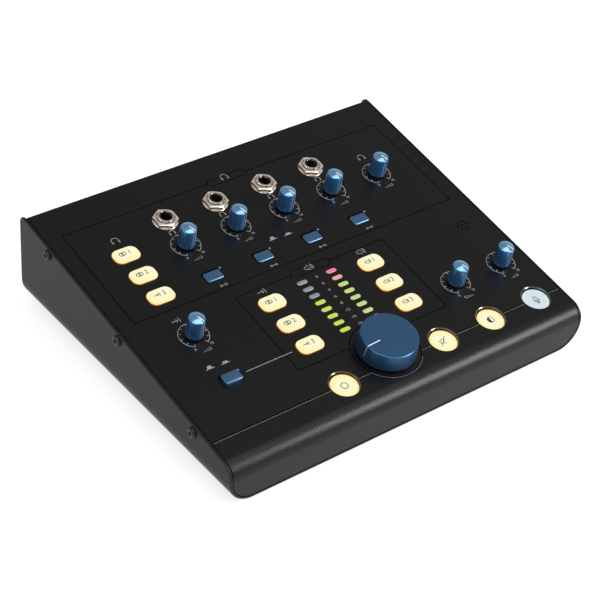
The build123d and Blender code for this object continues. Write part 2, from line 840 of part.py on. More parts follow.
def latch_button():
    """Blue cap on the plunger of a push-push switch, in its latched place."""
    top = RectangleRounded(switch_cap_width, switch_cap_length, switch_cap_corner_radius)
    cap = slab(top, -cap_skirt, switch_cap_top)
    cap = fillet(cap.edges().group_by(Axis.Z)[-1], switch_cap_edge_radius)
    return cap + block(stem_width, stem_width, latch_stem_bottom, -cap_skirt)


def bezel():
    """Sleeve around a round button, pushed in from below up to its flange."""
    inner = round_button_radius + button_clearance
    sleeve = post(bezel_radius, -cap_skirt, 0) + post(bezel_radius + 1.0, -cover_sheet - 1.0, -cover_sheet)
    sleeve = sleeve - post(inner, -cap_skirt - 1, 1)
    mouth = Pos(0, 0, -0.4) * Cone(inner, inner + 0.4, 0.4, align=(Align.CENTER, Align.CENTER, Align.MIN))
    return sleeve - mouth


for name, (x, v) in lit_buttons.items():
    save(name, on_panel(x, v) * lit_button())
for name, (x, v) in round_buttons.items():
    save(name, on_panel(x, v) * round_button())
for name, (x, v, lift) in latch_buttons.items():
    save(name, on_panel(x, v, lift) * latch_button())
save("round_button_bezels", *[on_panel(x, v) * bezel() for x, v in round_buttons.values()])


# ----------------------------------------------------------------- meter, microphone
def meter_housing():
    """Black block that keeps the light of the meter's bars apart."""
    wall = 1.5
    left = meter_left_column - meter_pill_width / 2 - wall
    right = meter_right_column + meter_pill_width / 2 + wall
    start = meter_start - meter_pill_length / 2 - wall
    end = meter_start + (meter_rows - 1) * meter_pitch + meter_pill_length / 2 + wall
    body = on_panel((left + right) / 2, (start + end) / 2) * block(
        right - left, end - start, board_top, -cover_sheet - seat_clearance
    )
    pill = SlotOverall(meter_pill_width + 2 * seat_clearance, meter_pill_length + 2 * seat_clearance)
    wells = [on_panel(x, v) * slab(pill, board_top - 1, 0) for x, v in meter_left + meter_right]
    return body - wells


def light_bars(places):
    """Light bars that stand on the board and end at the surface."""
    bar = slab(SlotOverall(meter_pill_width, meter_pill_length), board_top, meter_pill_top)
    return [on_panel(x, v) * bar for x, v in places]


def talkback_microphone():
    """Round capsule against the underside of the cover, in a boot on the board."""
    capsule_bottom = -cover_sheet - microphone_capsule_depth
    capsule = post(microphone_radius, capsule_bottom, -cover_sheet)
    return capsule + post(microphone_radius + microphone_boot_wall, board_top, capsule_bottom + 1)


save("meter_housing", meter_housing())
save("meter_leds_off", *light_bars(meter_left[:unlit_row_count]))
save("meter_leds_red", *light_bars(meter_right[:red_row_count]))
save("meter_leds_green", *light_bars(meter_left[unlit_row_count:] + meter_right[red_row_count:]))
save("talkback_microphone", on_panel(talk_column, microphone_row) * talkback_microphone())


# ---------------------------------------------------------------- rear connectors
def rear_jack():
    """Level quarter-inch jack that is open at both ends of its bore."""
    front = -cover_sheet
    body = block(rear_jack_width, rear_jack_height, front - rear_jack_depth, front)
    nose = post(jack_bushing_radius, front, rear_jack_nose)
    nose = chamfer(nose.edges().group_by(Axis.Z)[-1], 0.4)
    return body + nose - post(jack_bore_radius, front - rear_jack_depth - 1, rear_jack_nose + 1)


def rca_socket():
    """Phono socket: barrel around a ring-shaped cavity and a centre contact."""
    barrel = post(rca_radius, 0, rca_length) + post(rca_collar_radius, 0, rca_collar_height)
    barrel = barrel + post(rca_body_radius, -rca_body_depth, 0)
    cavity = Circle(rca_cavity_radius) - Circle(rca_contact_radius)
    barrel = barrel - slab(cavity, rca_length - rca_cavity_depth, rca_length + 1)
    return barrel - post(rca_contact_bore, rca_length - rca_cavity_depth, rca_length + 1)


def power_inlet():
    """Round low-voltage inlet with its centre pin."""
    body = post(inlet_nose_radius, -inlet_body_depth, inlet_nose)
    body = body + post(inlet_collar_radius, 0, inlet_collar_height)
    cavity = Circle(inlet_bore_radius) - Circle(inlet_pin_radius)
    return body - slab(cavity, inlet_nose - inlet_bore_depth, inlet_nose + 1)


def power_switch():
    """Snap-in frame and body of the rocker switch."""
    bezel_plate = block(
        power_body_width + power_bezel_margin, power_body_height + power_bezel_margin, 0, power_bezel_thickness
    )
    bezel_plate = chamfer(bezel_plate.edges().group_by(Axis.Z)[-1], 0.5)
    body = bezel_plate + block(power_body_width, power_body_height, -power_body_depth, 0)
    pocket = block(
        rocker_width + 2 * rocker_gap,
        rocker_height + 2 * rocker_gap,
        power_bezel_thickness - power_pocket_depth,
        power_bezel_thickness + 1,
    )
    bearing = Rot(0, 90, 0) * Cylinder(
        rocker_pin_radius + running_clearance, rocker_width + 2 * (rocker_gap + rocker_pin_length)
    )
    return body - pocket - bearing


def power_rocker():
    """Rocker with two sloping finger faces and its pivot pins, tilted to the on side."""
    half = rocker_height / 2 - moving_gap
    outline = make_face(
        Polyline(
            (0.6, 0),
            (rocker_thickness / 2, half),
            (-0.5, half),
            (-rocker_thickness, 2.5),
            (-rocker_thickness, -2.5),
            (-0.5, -half),
            (rocker_thickness / 2, -half),
            close=True,
        )
    )
    across = Plane(origin=(-rocker_width / 2, 0, 0), x_dir=(0, 0, 1), z_dir=(1, 0, 0))
    body = extrude(across * outline, rocker_width)
    pins = Rot(0, 90, 0) * Cylinder(rocker_pin_radius, rocker_width + 2 * rocker_pin_length)
    return Rot(rocker_tilt, 0, 0) * (body + pins)


save("rear_jacks", *[on_rear(x, z) * rear_jack() for x, z in rear_jack_places])
save("rca_sockets", *[on_rear(x, upper_row_z) * rca_socket() for x in rca_columns])
save("power_inlet", on_rear(inlet_column, upper_row_z) * power_inlet())
save("power_switch", on_rear(power_column, upper_row_z) * power_switch())
save("power_rocker", on_rear(power_column, upper_row_z) * power_rocker())


# -------------------------------------------------------------------- ribbon cables
board_under = on_panel(ribbon_column, ribbon_board_row, board_bottom).position
header_z = connector_board_z + board_thickness
header_y = rear_y - cover_sheet - connector_board_gap - connector_board_length + floor_standoff_inset
link_row = headphone_board_front - header_length / 2 - 1


def header():
    """Ribbon connector that stands on a board."""
    return block(header_width, header_length, 0, header_height)


def main_ribbon():
    """Flat cable from the rear jacks' board up to the control board."""
    start = (header_y, header_z + header_height)
    end_place = on_panel(ribbon_column, ribbon_board_row, board_bottom - header_height).position
    end = (end_place.Y, end_place.Z)
    up = (end[1] - start[1]) / 3
    lead = (end[0] + math.sin(slope) * up, end[1] - math.cos(slope) * up)
    path = FilletPolyline(start, (start[0], start[1] + up), lead, end, radius=2.0)
    across = Plane(origin=(ribbon_column - ribbon_width / 2, 0, 0), x_dir=(0, 1, 0), z_dir=(1, 0, 0))
    return extrude(across * trace(path, ribbon_thickness), ribbon_width)


link_ribbon = on_panel(link_column, link_row) * block(
    ribbon_width, ribbon_thickness, -headphone_depth + header_height, board_bottom - header_height
)
save("ribbon_cables", main_ribbon(), link_ribbon)
save(
    "ribbon_headers",
    Pos(ribbon_column, header_y, header_z) * header(),
    on_panel(ribbon_column, ribbon_board_row, board_bottom) * Rot(180, 0, 0) * header(),
    on_panel(link_column, link_row, -headphone_depth) * header(),
    on_panel(link_column, link_row, board_bottom) * Rot(180, 0, 0) * header(),
)
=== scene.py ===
"""Studio monitor controller: the finish of each CAD piece, and finer pieces that stand for some of them."""
import json
import math

import bmesh
import bpy
from mathutils import Euler, Matrix, Vector

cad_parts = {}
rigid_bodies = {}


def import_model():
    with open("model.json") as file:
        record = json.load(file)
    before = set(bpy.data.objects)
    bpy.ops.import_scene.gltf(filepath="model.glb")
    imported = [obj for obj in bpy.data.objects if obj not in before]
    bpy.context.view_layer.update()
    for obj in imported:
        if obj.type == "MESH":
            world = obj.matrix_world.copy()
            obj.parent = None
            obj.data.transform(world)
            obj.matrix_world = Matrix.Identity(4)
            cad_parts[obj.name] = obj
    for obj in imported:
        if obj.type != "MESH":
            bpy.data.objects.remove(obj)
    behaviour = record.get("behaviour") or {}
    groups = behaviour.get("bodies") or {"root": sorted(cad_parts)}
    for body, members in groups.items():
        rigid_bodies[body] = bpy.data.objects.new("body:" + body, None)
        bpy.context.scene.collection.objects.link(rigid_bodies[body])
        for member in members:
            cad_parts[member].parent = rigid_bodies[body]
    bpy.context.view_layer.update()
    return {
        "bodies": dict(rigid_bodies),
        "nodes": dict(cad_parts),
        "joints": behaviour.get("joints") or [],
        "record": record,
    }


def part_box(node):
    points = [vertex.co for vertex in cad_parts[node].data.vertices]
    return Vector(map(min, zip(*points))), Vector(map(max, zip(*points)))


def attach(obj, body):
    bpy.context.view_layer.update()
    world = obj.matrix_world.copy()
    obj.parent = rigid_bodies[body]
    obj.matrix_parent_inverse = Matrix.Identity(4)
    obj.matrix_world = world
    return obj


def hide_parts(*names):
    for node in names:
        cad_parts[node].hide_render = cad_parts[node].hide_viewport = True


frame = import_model()


# ----------------------------------- camera
# A long lens on a tall stand, off the controller's front left corner. It looks down on the
# sloping top, and leans four degrees to one side.
def show(name, data):
    """Puts a camera, mesh, curve or lamp in the scene as an object of that name."""
    piece = bpy.data.objects.new(name, data)
    bpy.context.scene.collection.objects.link(piece)
    return piece


camera = show("camera", bpy.data.cameras.new("camera"))
camera.location = (-0.4816, -0.5634, 0.5814)
camera.rotation_euler = Euler([math.radians(angle) for angle in (52.517, -4.052, -37.488)])
camera.data.lens = 105.5
camera.data.sensor_width = 36
bpy.context.scene.camera = camera
bpy.context.scene.view_settings.view_transform = "Standard"


# ----------------------- floor and backdrop
# A sheet of matt white studio paper that runs on past the picture's edges.
# Lens and shiny pieces see it as paper lit to white, and it still takes the case's soft shadow.
def linear(hex_colour):
    """Linear RGBA of an sRGB colour such as '#2b2c2a'."""
    parts = [int(hex_colour[i:i + 2], 16) / 255 for i in (1, 3, 5)]
    return (*[c / 12.92 if c <= 0.04045 else ((c + 0.055) / 1.055) ** 2.4 for c in parts], 1)


def add(tree, kind, inputs=None, **settings):
    """Adds a node to a tree. An input given as a socket is linked to it, and any other is set."""
    made = tree.nodes.new(kind)
    for key, value in settings.items():
        setattr(made, key, value)
    for key, value in (inputs or {}).items():
        if isinstance(value, bpy.types.NodeSocket):
            tree.links.new(value, made.inputs[key])
        else:
            made.inputs[key].default_value = value
    return made


paper_reach = 6.0
paper_glow = 0.72
mirrored_glow = 0.56
paper_mesh = bpy.data.meshes.new("studio_paper")
corners = [(x * paper_reach, y * paper_reach, 0) for x, y in ((-1, -1), (1, -1), (1, 1), (-1, 1))]
paper_mesh.from_pydata(corners, [], [(0, 1, 2, 3)])
paper = show("studio_paper", paper_mesh)

matt_white_paper = bpy.data.materials.new("matt_white_paper")
matt_white_paper.use_nodes = True
tree = matt_white_paper.node_tree
tree.nodes.clear()
ray = add(tree, "ShaderNodeLightPath")
mirrored = add(
    tree, "ShaderNodeMath", {0: ray.outputs["Is Glossy Ray"], 1: mirrored_glow}, operation="MULTIPLY"
)
share = add(
    tree,
    "ShaderNodeMath",
    {0: ray.outputs["Is Camera Ray"], 1: paper_glow, 2: mirrored.outputs[0]},
    operation="MULTIPLY_ADD",
    use_clamp=True,
)
glow = add(tree, "ShaderNodeEmission", {"Color": linear("#ffffff"), "Strength": share.outputs[0]})
matt = add(tree, "ShaderNodeBsdfDiffuse", {"Color": linear("#c8c8c8")})
both = add(tree, "ShaderNodeAddShader", {0: matt.outputs[0], 1: glow.outputs[0]})
add(tree, "ShaderNodeOutputMaterial", {"Surface": both.outputs[0]})
paper_mesh.materials.append(matt_white_paper)

# ------------------------------------ light
# A wide soft box overhead, a weaker one on the left and a tall strong one at the front right, which
# draws the bright band along the nose. The room is paler at the horizon than above.
horizon_height = 0.1
horizon_level = 0.66
above_height = 0.6
above_level = 0.35
room = bpy.data.worlds.new("studio_room")
bpy.context.scene.world = room
room.use_nodes = True
tree = room.node_tree
tree.nodes.clear()
heading = add(tree, "ShaderNodeTexCoord")
height = add(tree, "ShaderNodeSeparateXYZ", {0: heading.outputs["Generated"]})
fade = add(
    tree,
    "ShaderNodeMapRange",
    {0: height.outputs["Z"], 1: horizon_height, 2: above_height, 3: horizon_level, 4: above_level},
    interpolation_type="SMOOTHSTEP",
)
ray = add(tree, "ShaderNodeLightPath")
seen = {"Factor": ray.outputs["Is Camera Ray"], 2: fade.outputs[0], 3: 1.0}
level = add(tree, "ShaderNodeMix", seen, data_type="FLOAT")
air = add(tree, "ShaderNodeBackground", {"Color": linear("#ffffff"), "Strength": level.outputs[0]})
add(tree, "ShaderNodeOutputWorld", {"Surface": air.outputs[0]})


def soft_box(name, place, aim, width, height, radiance):
    """Rectangular lamp that faces a point and sends out an even radiance."""
    lamp = bpy.data.lights.new(name, "AREA")
    lamp.shape = "RECTANGLE"
    lamp.size = width
    lamp.size_y = height
    lamp.energy = radiance * math.pi * width * height
    box = show(name, lamp)
    box.location = place
    box.rotation_euler = (Vector(aim) - Vector(place)).to_track_quat("-Z", "Y").to_euler()


soft_box("overhead_soft_box", (-0.05, -0.35, 0.95), (-0.05, -0.35, 0), 1.4, 0.8, 1.55)
soft_box("left_soft_box", (-1.2, 0.2, 0.6), (0, 0, 0.05), 0.7, 0.7, 0.8)
soft_box("front_right_soft_box", (0.74, -0.87, 0.6), (0, -0.08, 0.03), 0.36, 0.66, 15.0)


# -------------------------- tray and screws
# Bottom and both sides are one bent steel sheet, powder-coated satin charcoal.
# Black button-head socket screws go through its walls into the cover and the rear panel.
mm = 0.001


def finish(name, colour, roughness, relief=None, **sockets):
    """A new material. Its relief is (size, depth) in mm, and _ stands for a space in a socket's name."""
    material = bpy.data.materials.new(name)
    material.use_nodes = True
    shader = material.node_tree.nodes["Principled BSDF"]
    shader.inputs["Base Color"].default_value = linear(colour)
    shader.inputs["Roughness"].default_value = roughness
    for socket, value in sockets.items():
        shader.inputs[socket.replace("_", " ")].default_value = value
    if relief:
        grain(material, *relief)
    return material


def lead(source, material, socket):
    """Links a node's output to a socket of the material's shader."""
    tree = material.node_tree
    tree.links.new(source, tree.nodes["Principled BSDF"].inputs[socket])


def grain(material, size, depth, detail=2.0):
    """Fine bumps of a size and depth in millimetres, as sprayed or moulded surfaces have."""
    tree = material.node_tree
    where = add(tree, "ShaderNodeTexCoord").outputs["Object"]
    bumps = add(tree, "ShaderNodeTexNoise", {"Vector": where, "Scale": 1 / (size * mm), "Detail": detail})
    relief = add(tree, "ShaderNodeBump", {"Height": bumps.outputs["Fac"], "Distance": depth * mm})
    lead(relief.outputs[0], material, "Normal")


def dress(material, *names):
    """Gives CAD nodes a material."""
    for name in names:
        for slot in frame["nodes"][name].material_slots:
            slot.material = material


# Charcoal powder coat, baked: an even satin with a faint orange peel.
charcoal_powder_coat = finish("charcoal_powder_coat", "#171712", 0.42, (0.9, 0.012), Specular_IOR_Level=0.24)
dress(charcoal_powder_coat, "outer_tray")

# Steel, blackened in hot oxide: dark, with a dull oily shine.
black_oxide_steel = finish("black_oxide_steel", "#38383a", 0.34, (0.3, 0.004), Metallic=0.7)
dress(black_oxide_steel, "side_screws", "bottom_screws")

# ----------------- top cover and rear panel
# The sloping top, nose and front flap are one folded sheet, and the rear panel is another.
# Both are powder-coated in black with a fine sand texture, which glitters where the nose turns
# to the light. The shine is turned almost off in the engraved lines: painted shade, darker than the flat.

# The sloping top has a frame of its own, under the main knob's axis: X across it, Y up the slope
# and Z out of it.
joints = {joint["name"]: joint for joint in frame["joints"]}
main_joint = joints["main_knob_turn"]
panel_normal = Vector(main_joint["axis"])
panel_across = Vector((1, 0, 0))
panel_up = panel_normal.cross(panel_across)
panel_turn = Matrix((panel_across, panel_up, panel_normal)).transposed().to_4x4()
panel = Matrix.Translation(main_joint["pos_m"]) @ panel_turn
on_flat = panel.inverted()

# Below, the engraved lines behind the nose are found by their depth and their shine is turned down: painted
# shade in the cuts.
coat_shine = 0.28
painted_shade_shine = 0.02
cut_high = -0.12 * mm
cut_low = -0.4 * mm
nose_start = -17.5 * mm
black_sand_powder_coat = finish(
    "black_sand_powder_coat", "#0a0908", 0.3, (0.8, 0.11, 3.0), Specular_IOR_Level=coat_shine
)
tree = black_sand_powder_coat.node_tree
where = add(tree, "ShaderNodeTexCoord").outputs["Object"]
across = add(tree, "ShaderNodeVectorMath", {0: where, 1: panel.translation}, operation="SUBTRACT").outputs[0]
out = add(tree, "ShaderNodeVectorMath", {0: across, 1: panel_normal}, operation="DOT_PRODUCT")
up = add(tree, "ShaderNodeVectorMath", {0: across, 1: panel_up}, operation="DOT_PRODUCT")
painted_shade_cut = 1.0
for reach, limit, test in (
    (out, cut_high, "LESS_THAN"),
    (out, cut_low, "GREATER_THAN"),
    (up, nose_start, "GREATER_THAN"),
):
    passed = add(tree, "ShaderNodeMath", {0: reach.outputs["Value"], 1: limit}, operation=test)
    painted_shade_cut = add(tree, "ShaderNodeMath", {0: passed.outputs[0], 1: painted_shade_cut}, operation="MULTIPLY").outputs[0]
shine = add(tree, "ShaderNodeMapRange", {0: painted_shade_cut, 3: coat_shine, 4: painted_shade_shine})
lead(shine.outputs[0], black_sand_powder_coat, "Specular IOR Level")
dress(black_sand_powder_coat, "top_cover", "rear_panel")

# ------------------------------------- feet
# Four feet moulded in rubber, stuck on under the tray near its corners. They keep the case off
# the desk and stop it from sliding.

# Black nitrile rubber: matt and even.
black_nitrile_rubber = finish("black_nitrile_rubber", "#1a1a1a", 0.8, (0.4, 0.01))
dress(black_nitrile_rubber, "rubber_feet")

# ------------------------ boards and inside
# Glass-fibre boards under green solder mask, on hexagonal spacers, with the switches,
# potentiometers, ribbon cables and plugs that they carry. The closed case hides them.

# Green mask over copper: satin, darker between the traces.
green_solder_mask = finish("green_solder_mask", "#1f5a34", 0.35)
tree = green_solder_mask.node_tree
traces = add(
    tree,
    "ShaderNodeTexBrick",
    {
        "Vector": add(tree, "ShaderNodeTexCoord").outputs["Object"],
        "Color1": linear("#1f5a34"),
        "Color2": linear("#27693d"),
        "Mortar": linear("#174526"),
        "Scale": 1 / (10 * mm),
        "Mortar Size": 0.03,
    },
)
lead(traces.outputs["Color"], green_solder_mask, "Base Color")
dress(green_solder_mask, "control_board", "headphone_board", "connector_board")

# Zinc-plated steel: pale bluish metal with a soft shine.
zinc_plated_steel = finish("zinc_plated_steel", "#b9bcc0", 0.35, (0.4, 0.004), Metallic=1.0)
dress(zinc_plated_steel, "board_screws", "panel_standoffs", "floor_standoffs")

# Die-cast zinc cans: duller and a little warmer.
die_cast_zinc = finish("die_cast_zinc", "#9a9c9c", 0.5, (0.6, 0.01), Metallic=1.0)
dress(die_cast_zinc, "small_potentiometers", "main_potentiometer")

# Black moulded nylon with glass fibre: grey-black and slightly rough.
black_nylon = finish("black_nylon", "#17171a", 0.5, (0.25, 0.01))
dress(black_nylon, "square_switches", "round_switches", "latching_switches", "ribbon_headers")
dress(black_nylon, "power_inlet", "power_switch", "power_rocker", "headphone_jacks", "rear_jacks")
dress(black_nylon, "meter_housing", "talkback_microphone")


def ribbed(material, pitch, depth, axis):
    """Even ridges along an axis. A wave texture repeats every pi / (10 x its scale)."""
    tree = material.node_tree
    where = add(tree, "ShaderNodeTexCoord").outputs["Object"]
    scale = math.pi / (10 * pitch)
    waves = add(tree, "ShaderNodeTexWave", {"Vector": where, "Scale": scale}, bands_direction=axis)
    ridges = add(tree, "ShaderNodeBump", {"Height": waves.outputs["Fac"], "Distance": depth})
    lead(ridges.outputs[0], material, "Normal")


# Flat cable in grey vinyl, ribbed by its wires, which lie 1.27 mm apart.
grey_vinyl = finish("grey_vinyl", "#8d8f92", 0.5)
ribbed(grey_vinyl, 1.27 * mm, 0.2 * mm, "X")
dress(grey_vinyl, "ribbon_cables")


# --------------------- jacks, nuts, washers
# Quarter-inch jacks come up through the sheet. Each has a threaded bushing, a round washer
# and a hexagonal nut, all of nickel-plated brass.
def shaped(name, shape, material=None, crease=32):
    """Plain mesh from a bmesh, smooth but for edges sharper than the crease angle."""
    bmesh.ops.recalc_face_normals(shape, faces=shape.faces)
    mesh = bpy.data.meshes.new(name)
    shape.to_mesh(mesh)
    shape.free()
    mesh.shade_smooth()
    mesh.set_sharp_from_angle(angle=math.radians(crease))
    if material:
        mesh.materials.append(material)
    return mesh


def skin(rings, closed=False):
    """Bmesh stretched over rings of points. Its ends are capped, or joined to each other if closed."""
    shape = bmesh.new()
    levels = [[shape.verts.new(point) for point in ring] for ring in rings]
    pairs = list(zip(levels, levels[1:]))
    if closed:
        pairs.append((levels[-1], levels[0]))
    for low, high in pairs:
        steps = max(len(low), len(high))
        for i in range(steps):
            j = (i + 1) % steps
            corners = [low[i % len(low)], low[j % len(low)], high[j % len(high)], high[i % len(high)]]
            shape.faces.new(list(dict.fromkeys(corners)))
    if not closed:
        for end in (levels[0], levels[-1]):
            if len(end) > 2:
                shape.faces.new(end)
    return shape


def ring(radius, height, steps=64):
    """Points of a level circle, or its centre if the radius is zero."""
    if radius == 0:
        return [(0, 0, height)]
    turns = [2 * math.pi * i / steps for i in range(steps)]
    return [(radius * math.cos(t), radius * math.sin(t), height) for t in turns]


def turned(profile, steps=64, closed=False):
    """Bmesh turned about Z from (radius, height) points."""
    return skin([ring(radius, height, steps) for radius, height in profile], closed)


def new_tree(name, result, **inputs):
    """An empty geometry tree and its input node; each input is given with its kind of socket."""
    tree = bpy.data.node_groups.new(name, "GeometryNodeTree")
    for label, kind in inputs.items():
        tree.interface.new_socket(label, in_out="INPUT", socket_type="NodeSocket" + kind)
    tree.interface.new_socket(result, in_out="OUTPUT", socket_type="NodeSocketGeometry")
    return tree, add(tree, "NodeGroupInput")


def end_tree(tree, given, shape):
    """Ends a geometry tree: its shape is made real, in the finish that the tree is given."""
    solid = add(tree, "GeometryNodeRealizeInstances", {0: shape.outputs[0]})
    dressed = {"Geometry": solid.outputs[0], "Material": given.outputs["Finish"]}
    coated = add(tree, "GeometryNodeSetMaterial", dressed)
    add(tree, "NodeGroupOutput", {0: coated.outputs[0]})


def grown(name, source, tree, values):
    """Plain mesh that a geometry tree makes of an object, which is then removed."""
    modifier = source.modifiers.new(tree.name, "NODES")
    modifier.node_group = tree
    for item in tree.interface.items_tree:
        if item.in_out == "INPUT" and item.name in values:
            modifier[item.identifier] = values[item.name]
    bpy.context.view_layer.update()
    view = bpy.context.evaluated_depsgraph_get()
    mesh = bpy.data.meshes.new_from_object(source.evaluated_get(view))
    mesh.name = name
    bpy.data.objects.remove(source)
    return mesh


# This tree puts a copy of a shape on each point, turned as the point's 'facing' says.
copies_tree, given = new_tree(
    "copies_on_places", "Copies", Points="Geometry", Shape="Object", Finish="Material"
)
shape = add(
    copies_tree, "GeometryNodeObjectInfo", {"Object": given.outputs["Shape"]}, transform_space="ORIGINAL"
)
facing = add(copies_tree, "GeometryNodeInputNamedAttribute", {"Name": "facing"}, data_type="FLOAT_VECTOR")
copied = {
    "Points": given.outputs["Points"],
    "Instance": shape.outputs["Geometry"],
    "Rotation": facing.outputs["Attribute"],
}
end_tree(copies_tree, given, add(copies_tree, "GeometryNodeInstanceOnPoints", copied))


def copies(name, pattern, places, material):
    """Plain mesh of one pattern mesh at several places, which are matrices."""
    points = bpy.data.meshes.new(name + "_places")
    points.from_pydata([place.translation for place in places], [], [])
    facing = points.attributes.new("facing", "FLOAT_VECTOR", "POINT")
    for entry, place in zip(facing.data, places):
        entry.vector = place.to_euler()
    model = show(name + "_pattern", pattern)
    mesh = grown(name, show(name + "_points", points), copies_tree, {"Shape": model, "Finish": material})
    bpy.data.objects.remove(model)
    return mesh


def fit(name, mesh, body, slot, *replaced, place=None):
    """Shows a finished mesh as a piece of a CAD body, in place of CAD nodes. Its place goes into the mesh."""
    if place is not None:
        mesh.transform(place)
    piece = show(name, mesh)
    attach(piece, body)
    if replaced:
        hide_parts(*replaced)


jack_nose = {"headphone": 3.9 * mm, "rear": 4.2 * mm}
jack_threads = {"headphone": 1, "rear": 2}
washer_radius = 6.9 * mm
washer_height = 0.7 * mm
nut_flats = 12.2 * mm
nut_crown = 0.93 * nut_flats / 2
nut_height = 2.2 * mm
nut_chamfer = math.radians(27)
nut_steps = 96
countersink = 0.45 * mm
bushing_radius = 4.78 * mm
bushing_bore = 3.17 * mm
bushing_foot = -1.6 * mm
thread_pitch = 0.75 * mm
thread_depth = 0.12 * mm

# Nickel over brass, from a bright bath: a warm mirror, faintly softened by handling.
bright_nickel = finish("bright_nickel", "#f8ebde", 0.17, (1.5, 0.004), Metallic=1.0)
dress(bright_nickel, "rca_sockets")
# The same plating on tumbled parts: paler, with a milky bloom under the mirror.
satin_nickel = finish("satin_nickel", "#f8ebde", 0.17, (1.5, 0.004), Metallic=0.84)

jack_mounts = {kind: [] for kind in jack_nose}
for mount in frame["record"]["mounts"]:
    kind = mount["name"].split("_jack_")[0]
    if kind in jack_mounts:
        axis = Vector(mount["axis"])
        lip = Vector(mount["pos_m"]) + axis * mount["dims"]["length_mm"] * mm / 2
        seat = lip - axis * jack_nose[kind]
        turn = axis.to_track_quat("Z", "Y").to_matrix().to_4x4()
        jack_mounts[kind].append(Matrix.Translation(seat) @ turn)
jack_places = jack_mounts["headphone"] + jack_mounts["rear"]


def hexagon_radius(turn):
    """Distance from a nut's centre to its side, at an angle; the flats face left and right."""
    return nut_flats / 2 / math.cos((turn + math.pi / 6) % (math.pi / 3) - math.pi / 6)


def nut():
    """Hexagonal nut with its top chamfered by a cone and its thread hole countersunk."""
    top = washer_height + nut_height
    foot = []
    brim = []
    for i in range(nut_steps):
        t = 2 * math.pi * i / nut_steps
        r = hexagon_radius(t)
        foot.append((r * math.cos(t), r * math.sin(t), washer_height))
        brim.append((r * math.cos(t), r * math.sin(t), top - (r - nut_crown) * math.tan(nut_chamfer)))
    hole = bushing_radius + 0.02 * mm
    mouth = [(nut_crown, top), (bushing_radius + 0.5 * mm, top), (hole, top - countersink)]
    inside = [ring(radius, height, nut_steps) for radius, height in (*mouth, (hole, washer_height))]
    return skin([foot, brim, *inside], closed=True)


def washer():
    """Round washer with a rolled rim."""
    hole = bushing_radius + 0.1 * mm
    flat = washer_radius - 0.25 * mm
    rim = [(flat, 0), (washer_radius, 0.2 * mm), (washer_radius, 0.45 * mm), (flat, washer_height)]
    return turned([(hole, 0), *rim, (hole, washer_height)], closed=True)


def bushing(nose, threads):
    """Threaded sleeve around the jack's bore, with a rounded lip."""
    shoulder = nose - 0.5 * mm
    tip = nose + 0.02 * mm
    wall = [(bushing_radius, bushing_foot)]
    for i in range(threads):
        crest = shoulder - (threads - i) * thread_pitch
        wall += [(bushing_radius, crest), (bushing_radius - thread_depth, crest + thread_pitch / 2)]
    lip = [(bushing_radius, shoulder), (bushing_radius - 0.35 * mm, tip)]
    bore = [(bushing_bore + 0.5 * mm, tip), (bushing_bore, nose - 0.4 * mm), (bushing_bore, bushing_foot)]
    return turned([*wall, *lip, *bore], closed=True)


for part, shape, node in (("nut", nut(), "jack_nuts"), ("washer", washer(), "jack_washers")):
    set_mesh = copies(f"jack_{part}_set", shaped(part, shape), jack_places, satin_nickel)
    fit(f"jack_{part}_set", set_mesh, "casing", "nickel", node)
for kind, places in jack_mounts.items():
    sleeve = shaped("sleeve", bushing(jack_nose[kind], jack_threads[kind]))
    set_mesh = copies(kind + "_jack_sleeves", sleeve, places, bright_nickel)
    fit(kind + "_jack_sleeves", set_mesh, "casing", "nickel")

# ------------------------------ small knobs
# Eight level knobs, turned from aluminium and anodised blue, with a polished dome and a white
# pointer, pressed on steel shafts that come up through the panel.
small_knobs = [name[:-5] for name in joints if name.endswith("_turn") and name != "main_knob_turn"]

knob_radius = 4.85 * mm
knob_top_radius = 4.35 * mm
knob_foot = 0.8 * mm
knob_shoulder = 12.2 * mm
knob_crown = 1.0 * mm
knob_steps = 72
dome_radius = 4.0 * mm
dome_rings = 10
pointer_turn = math.radians(-60)
pointer_width = 0.42 * mm
shaft_radius = 3.0 * mm
shaft_low = -10.0 * mm

# Bright-dipped anodised aluminium: a blue mirror, softened by the dye, pale where a lamp shows in it.
bright_blue_anodise = finish(
    "bright_blue_anodise",
    "#447fb9",
    0.28,
    (0.8, 0.0015),
    Metallic=0.8,
    Coat_Weight=0.5,
    Coat_IOR=1.7,
    Coat_Roughness=0.15,
)
# The same anodise over a polished crown, its colour made paler than the body's: a real polish with a painted
# highlight.
polished_blue_anodise = finish("polished_blue_anodise", "#86b8de", 0.17, (0.8, 0.001), Metallic=0.9)
# White pad-printed ink on the pointer.
white_ink = finish("white_ink", "#eef2f5", 0.5, (0.3, 0.004))
# Turned steel: fine rings round the shaft, 0.38 mm apart, and a bright, slightly grey shine.
turned_steel = finish("turned_steel", "#b5b5b5", 0.3, Metallic=1.0)
ribbed(turned_steel, 0.377 * mm, 0.01 * mm, "Z")


def dome_height(radius):
    """Height of the knob's dome at a distance from its axis."""
    return knob_shoulder + knob_crown * (1 - (radius / dome_radius) ** 2)


def small_knob():
    """Knob that narrows upwards, with a rounded shoulder and a dome inside a narrow rim."""
    profile = [
        (0, knob_foot),
        (knob_radius - 0.3 * mm, knob_foot),
        (knob_radius - 0.04 * mm, knob_foot + 0.3 * mm),
        (knob_top_radius, knob_shoulder - 0.35 * mm),
        (knob_top_radius - 0.08 * mm, knob_shoulder - 0.1 * mm),
        (knob_top_radius - 0.22 * mm, knob_shoulder),
        (dome_radius + 0.04 * mm, knob_shoulder - 0.02 * mm),
        (0, knob_shoulder - 0.02 * mm),
    ]
    return turned(profile, knob_steps)


def dome():
    """The knob's polished crown."""
    foot = [(0, knob_shoulder - 0.3 * mm), (dome_radius, knob_shoulder - 0.3 * mm)]
    reach = [dome_radius * (1 - i / dome_rings) for i in range(dome_rings)]
    return turned([*foot, *[(r, dome_height(r)) for r in reach], (0, dome_height(0))], knob_steps)


